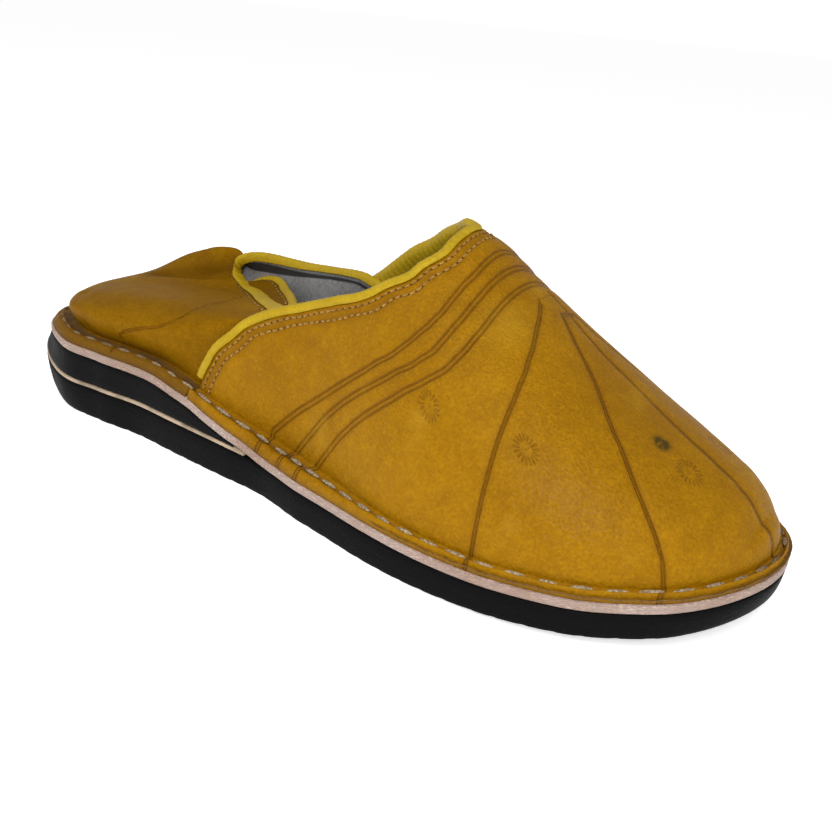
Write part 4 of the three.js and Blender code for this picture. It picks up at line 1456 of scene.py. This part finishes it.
# %% The thick row round the rim
RIM_STITCH = dict(pitch=RIM_PITCH, length=6.2, width=1.45, height=1.3, sink=0.38)
rim_rows = []
for side, line in rim_lines.items():
    ups = np.broadcast_to(np.array([0.0, 0.0, 1.0]), line.shape)
    row, _ = stitch_row(f"rim_stitches_{side}", line, ups, **RIM_STITCH)
    rim_rows.append(row)
print("rim stitches", [len(row.data.polygons) for row in rim_rows])

# %% [markdown]
# ## The finishes
#
# The vamp has been tooled, stamped, polished and worn. The tool burns a pair of thin brown lines,
# and wax and wear change colour and gloss together. The finish reads the distances kept on the
# corners, so that the lines stay sharp and follow the leather where it bends.

# %% Colours of leather, dirt, cloth and painted shade
VAMP_LIGHT = (0.425, 0.203, 0.001, 1)
VAMP_DARK = (0.25, 0.108, 0.0006, 1)
QUARTER_LIGHT = (0.315, 0.148, 0.002, 1)
QUARTER_DARK = (0.175, 0.076, 0.001, 1)
BINDING_LIGHT = (0.54, 0.375, 0.012, 1)
BINDING_DARK = (0.40, 0.25, 0.006, 1)
WORN_VAMP = (0.56, 0.34, 0.03, 1)
WORN_QUARTER = (0.42, 0.24, 0.006, 1)
SMUDGE_BROWN = (0.045, 0.03, 0.006, 1)
STITCH_STAIN = (0.20, 0.08, 0.002, 1)
# Painted shade for the valley of the fold and the tucked pleat.
VALLEY_PAINTED_SHADE = (0.085, 0.036, 0.001, 1)
CLOTH_LIGHT = (0.36, 0.355, 0.35, 1)
CLOTH_DARK = (0.17, 0.168, 0.17, 1)
# Painted shade, near black, for the gap under the lining's top edge.
GAP_PAINTED_SHADE = (0.01, 0.01, 0.012, 1)
TOOLED_BROWN = (0.17, 0.06, 0.003, 1)
DIRT = (0.10, 0.055, 0.022, 1)
print("vamp from", VAMP_DARK[:3], "to", VAMP_LIGHT[:3])

# %% Leather of the vamp
ARC_SPREAD = 0.6
RAY_SPREAD = 0.38
LINE_WIDTH = 0.4
TICKS = 17
THREAD_SOIL = (0.14, 0.08, 0.03, 1)


def double_groove(distance, spread=RAY_SPREAD):
    return abs(distance).hump(spread, LINE_WIDTH)


def sunburst(dx, ds, inside):
    radius = (dx * dx + ds * ds).math("SQRT")
    rays = ds.angle(dx).wave(TICKS).step(-0.1, 0.7) * radius.step(1.7, 2.3) * (1 - radius.step(3.6, 4.2))
    return (rays + 0.6 * radius.hump(0.0, 1.0)) * inside.step(0.5, 0.9)


def soiled_ends(finish):
    """1 at the back of the heel and at the tip of the toe, where the rim has picked up dirt."""
    along, across, _ = finish.split(finish.place)
    heel = 1 - along.step(-0.075, -0.025)
    toe = (along + across * 0.5).step(0.112, 0.134)
    return heel.largest(toe) * (0.6 + 0.4 * finish.noise(90, 4.0).step(0.35, 0.6))


def rim_soil(finish, colour, amount):
    """Dirt that settles in the stitched groove and on the cut edge of the rim."""
    share = finish.mark("rim")
    soil = finish.noise(70, 4.0).step(0.40, 0.60)
    groove = share.hump(STITCH_SHARE + 0.06, 0.30)
    edge = 1 - share.step(0.0, 0.16)
    amount = amount + (1 - amount) * soiled_ends(finish)
    halo = share.step(0.5, 1.0) * soiled_ends(finish) * (1 - share.step(1.01, 1.4))
    colour = finish.mix(halo * 0.35, colour, DIRT)
    return finish.mix((groove * (0.4 + 0.6 * soil)).largest(edge * 0.55) * amount, colour, DIRT)


WORN_PATCH = (0.061, -0.017, 0.068)
SMUDGE = (0.1072, -0.010, 0.045)
GLOSS = (0.0966, -0.042, 0.030)


def near_spot(finish, centre, reach):
    """1 at a spot on the leather, falling to 0 at its reach."""
    values = [finish.place, centre]
    away = finish.node("ShaderNodeVectorMath", {"operation": "DISTANCE"}, values, output="Value")
    return 1 - (away / reach).step(0.0, 1.0)


def vamp_finish():
    finish = Finish("vamp_leather", Roughness=0.46, Specular_IOR_Level=0.08)
    colour, height, clouds = leather_base(finish, VAMP_LIGHT, VAMP_DARK)
    arcs = finish.split(finish.mark("arcs", "Vector"))
    rays = finish.split(finish.mark("rays", "Vector"))
    dx, ds, inside = finish.split(finish.mark("stamp", "Vector"))
    lines = double_groove(arcs[0], ARC_SPREAD)
    for distance in arcs[1:]:
        lines = lines.largest(double_groove(distance, ARC_SPREAD))
    for distance in rays:
        lines = lines.largest(double_groove(distance))
    halo = abs(arcs[0]).smallest(abs(arcs[1])).smallest(abs(arcs[2]))
    for distance in rays:
        halo = halo.smallest(abs(distance))
    colour = finish.mix((1 - halo.step(0.4, 2.2)) * 0.28, colour, TOOLED_BROWN)
    lines = lines * (0.72 + 0.4 * finish.noise(60))
    worked = lines.largest(sunburst(dx, ds, inside) * 0.6)
    colour = finish.mix(worked * 0.62, colour, TOOLED_BROWN)
    colour = rim_soil(finish, colour, 0.7)
    worn = finish.noise(35, 5.0).step(0.58, 0.72).largest(near_spot(finish, WORN_PATCH, 0.013) * 0.8)
    colour = finish.mix(worn * 0.22, colour, WORN_VAMP)
    smudge = near_spot(finish, SMUDGE, 0.0042) * finish.noise(500).step(0.25, 0.5)
    colour = finish.mix((smudge * 1.5).smallest(0.88), colour, SMUDGE_BROWN)
    stained = finish.mark("from_throat").hump(3.4, 3.6) * finish.noise(110, 4.0).step(0.35, 0.6)
    colour = finish.mix(stained * 0.5, colour, STITCH_STAIN)
    finish.feed("Base Color", colour)
    gloss = near_spot(finish, GLOSS, 0.030)
    finish.feed("Roughness", 0.44 + 0.16 * clouds + 0.1 * worn - 0.24 * gloss)
    finish.bump(height * 0.9 - worked * 0.9, 0.5)
    return finish.material


vamp_material = vamp_finish()
print("vamp finish ready")

# %% [markdown]
# The quarter is the same leather in darker colours, with dirt on its rim and painted shade in the
# valley of the fold. The bindings are cut from thin bright leather that crinkles between its stitches.

# %% Leather of the quarter and of the bindings


def quarter_finish():
    finish = Finish("quarter_leather", Roughness=0.5, Specular_IOR_Level=0.02)
    colour, height, clouds = leather_base(finish, QUARTER_LIGHT, QUARTER_DARK)
    on_rim = 1 - finish.mark("rim").step(0.95, 1.15)
    colour = finish.mix(on_rim * 0.3, colour, DIRT)
    colour = rim_soil(finish, colour, 0.9)
    line = double_groove(finish.mark("tooled"))
    colour = finish.mix(line * 0.6, colour, TOOLED_BROWN)
    # Painted shade: darker near the valley of the fold and over the tucked pleat.
    valley_painted_shade = 1 - finish.mark("valley").step(0.0, 8.0)
    colour = finish.mix(valley_painted_shade * 0.6, colour, VALLEY_PAINTED_SHADE)
    worn = finish.noise(45, 5.0).step(0.57, 0.7)
    colour = finish.mix(worn * 0.22, colour, WORN_QUARTER)
    finish.feed("Base Color", colour)
    finish.feed("Roughness", 0.42 + 0.16 * clouds)
    finish.bump(height * 0.3 - line * 0.8, 0.55)
    return finish.material


def binding_finish():
    finish = Finish("binding_leather", Roughness=0.42, Specular_IOR_Level=0.15)
    colour, height, clouds = leather_base(finish, BINDING_LIGHT, BINDING_DARK, 1900, 60)
    pucker = finish.mark("along").wave(2 * math.pi / STITCH_PITCH)
    crease = finish.noise(500, 3.0)
    finish.feed("Base Color", colour)
    finish.feed("Roughness", 0.36 + 0.16 * clouds)
    finish.bump(height * 0.2 + pucker * 0.08 + crease * 0.3, 0.6)
    return finish.material


quarter_material = quarter_finish()
binding_material = binding_finish()
print("quarter and binding finishes ready")

# %% [markdown]
# Inside is grey cloth that has come away from the far wall's top edge, with painted shade, near
# black, in the gap under that edge. Cut edges are raw and dull.
# The thick thread is clean along the sides and brown with dirt at heel and toe.

# %% Lining, cut edges and thread


def lining_finish():
    """Grey cloth, with painted shade near black in the gap where it hangs away from the leather's top edge.
    """
    finish = Finish("grey_lining", Roughness=0.9)
    shade = (finish.noise(900, 4.0) * 0.5 + finish.noise(60, 4.0) * 0.5).step(0.3, 0.7)
    colour = finish.mix(shade, CLOTH_DARK, CLOTH_LIGHT)
    # Painted shade: the gap band under the top edge is mixed nearly to black.
    finish.feed("Base Color", finish.mix(finish.mark("gap") * 0.95, colour, GAP_PAINTED_SHADE))
    finish.bump(finish.noise(1800, 3.0), 0.3)
    return finish.material


def cut_edge_finish():
    finish = Finish("cut_edge", Roughness=0.85)
    shade = finish.noise(1200, 4.0).step(0.35, 0.65)
    finish.feed("Base Color", finish.mix(shade, (0.15, 0.07, 0.006, 1), (0.27, 0.13, 0.012, 1)))
    finish.bump(shade, 0.25)
    return finish.material


def thread_finish(name, light, dark):
    finish = Finish(name, Roughness=0.75, Specular_IOR_Level=0.1)
    twist = finish.noise(1500, 2.0).step(0.35, 0.65)
    colour = finish.mix(twist, dark, light)
    finish.feed("Base Color", finish.mix(soiled_ends(finish) * 0.85, colour, THREAD_SOIL))
    finish.bump(twist, 0.2)
    return finish.material


lining_material = lining_finish()
edge_material = cut_edge_finish()
# Painted shade: the needle holes are dark beads, not holes.
hole_shade_material = Finish("needle_hole_shade", Base_Color=(0.10, 0.042, 0.004, 1), Roughness=0.9).material
rim_thread = thread_finish("rim_thread", (0.56, 0.46, 0.31, 1), (0.24, 0.17, 0.09, 1))
fine_thread = thread_finish("fine_thread", (0.50, 0.29, 0.08, 1), (0.28, 0.14, 0.02, 1))
light_thread = thread_finish("light_thread", (0.50, 0.34, 0.10, 1), (0.28, 0.16, 0.03, 1))
print("lining, edge and thread ready")

# %% [markdown]
# Black rubber shows dust and scrapes more than colour. The midsole's cut edge is fibrous leather
# board, so its noise is stretched along the layer. The insole is suede with a soft nap.

# %% Rubber, midsole and insole


def rubber_finish(name, tone):
    finish = Finish(name, Roughness=0.6, Specular_IOR_Level=0.03)
    dust = finish.noise(40, 5.0).step(0.5, 0.85)
    speck = finish.noise(1600, 2.0).step(0.62, 0.75)
    colour = finish.mix(dust * 0.3, (tone, tone, tone * 1.1, 1), (tone * 2.6, tone * 2.5, tone * 2.5, 1))
    colour = finish.mix(speck * 0.1, colour, (0.06, 0.057, 0.054, 1))
    finish.feed("Base Color", colour)
    finish.feed("Roughness", 0.5 + 0.25 * dust)
    scrape = finish.node("ShaderNodeTexNoise", values={
        "Vector": finish.stretched(1, 1, 6), "Scale": 260, "Detail": 3.0,
    })
    finish.bump(finish.noise(1200, 3.0) * 0.5 + scrape * 0.5, 0.35)
    return finish.material


def stripe_finish():
    finish = Finish("stripe_rubber", Roughness=0.7)
    soil = finish.noise(120, 5.0).step(0.40, 0.70)
    finish.feed("Base Color", finish.mix(soil * 0.7, (0.50, 0.38, 0.26, 1), (0.16, 0.11, 0.07, 1)))
    finish.bump(finish.noise(900, 3.0), 0.3)
    return finish.material


def midsole_finish():
    finish = Finish("midsole_leather", Roughness=0.8)
    fibre = finish.node("ShaderNodeTexNoise", values={
        "Vector": finish.stretched(1, 1, 3.5), "Scale": 700, "Detail": 4.0,
    }).step(0.35, 0.65)
    patch = finish.noise(45, 4.0).step(0.35, 0.65)
    colour = finish.mix(patch, (0.54, 0.37, 0.29, 1), (0.66, 0.50, 0.43, 1))
    colour = finish.mix((1 - fibre) * 0.25, colour, (0.34, 0.20, 0.14, 1))
    finish.feed("Base Color", colour)
    finish.bump(fibre, 0.5)
    return finish.material


def insole_finish():
    finish = Finish("insole_leather", Roughness=0.95)
    nap = (finish.noise(1100, 4.0) * 0.5 + finish.noise(50, 5.0) * 0.5).step(0.36, 0.64)
    finish.feed("Base Color", finish.mix(nap, (0.20, 0.20, 0.205, 1), (0.42, 0.42, 0.43, 1)))
    finish.bump(nap, 0.4)
    return finish.material


outsole_material = rubber_finish("outsole_rubber", 0.005)
wedge_material = rubber_finish("wedge_rubber", 0.006)
print("rubber, midsole and insole finishes ready")

# %% [markdown]
# Each piece gets its finishes; the vamp and the quarter each have a leather of their own.

# %% Dress the pieces


def sheet_materials(leather):
    """Leather, lining and cut edge, then the rim's leather and the edge under it."""
    return [leather, lining_material, edge_material, leather, edge_material]


DRESS = [  # piece, materials, slot
    (outsole, [outsole_material], "outsole_rubber"),
    (stripe, [stripe_finish()], "stripe_rubber"),
    (wedge, [wedge_material], "wedge_rubber"),
    (midsole, [midsole_finish()], "midsole_leather"),
    (insole, [insole_finish()], "insole_leather"),
    (vamp, sheet_materials(vamp_material), "vamp_leather"),
    (quarter, sheet_materials(quarter_material), "quarter_leather"),
    (vamp_binding, [binding_material], "binding_leather"),
    (quarter_binding, [binding_material], "binding_leather"),
]
DRESS += [(pleat, [quarter_material, lining_material, edge_material], None)]
DRESS += [(pleat_binding, [binding_material], None)]
DRESS += [(row, [fine_thread], None) for row in fine_rows[:2]]
DRESS += [(row, [light_thread], None) for row in fine_rows[2:]]
DRESS += [(row, [hole_shade_material], None) for row in hole_shade_rows]
DRESS += [(row, [rim_thread], None) for row in rim_rows]
for piece, materials, slot in DRESS:
    for material in materials:
        piece.data.materials.append(material)
print(len(DRESS), "pieces dressed")
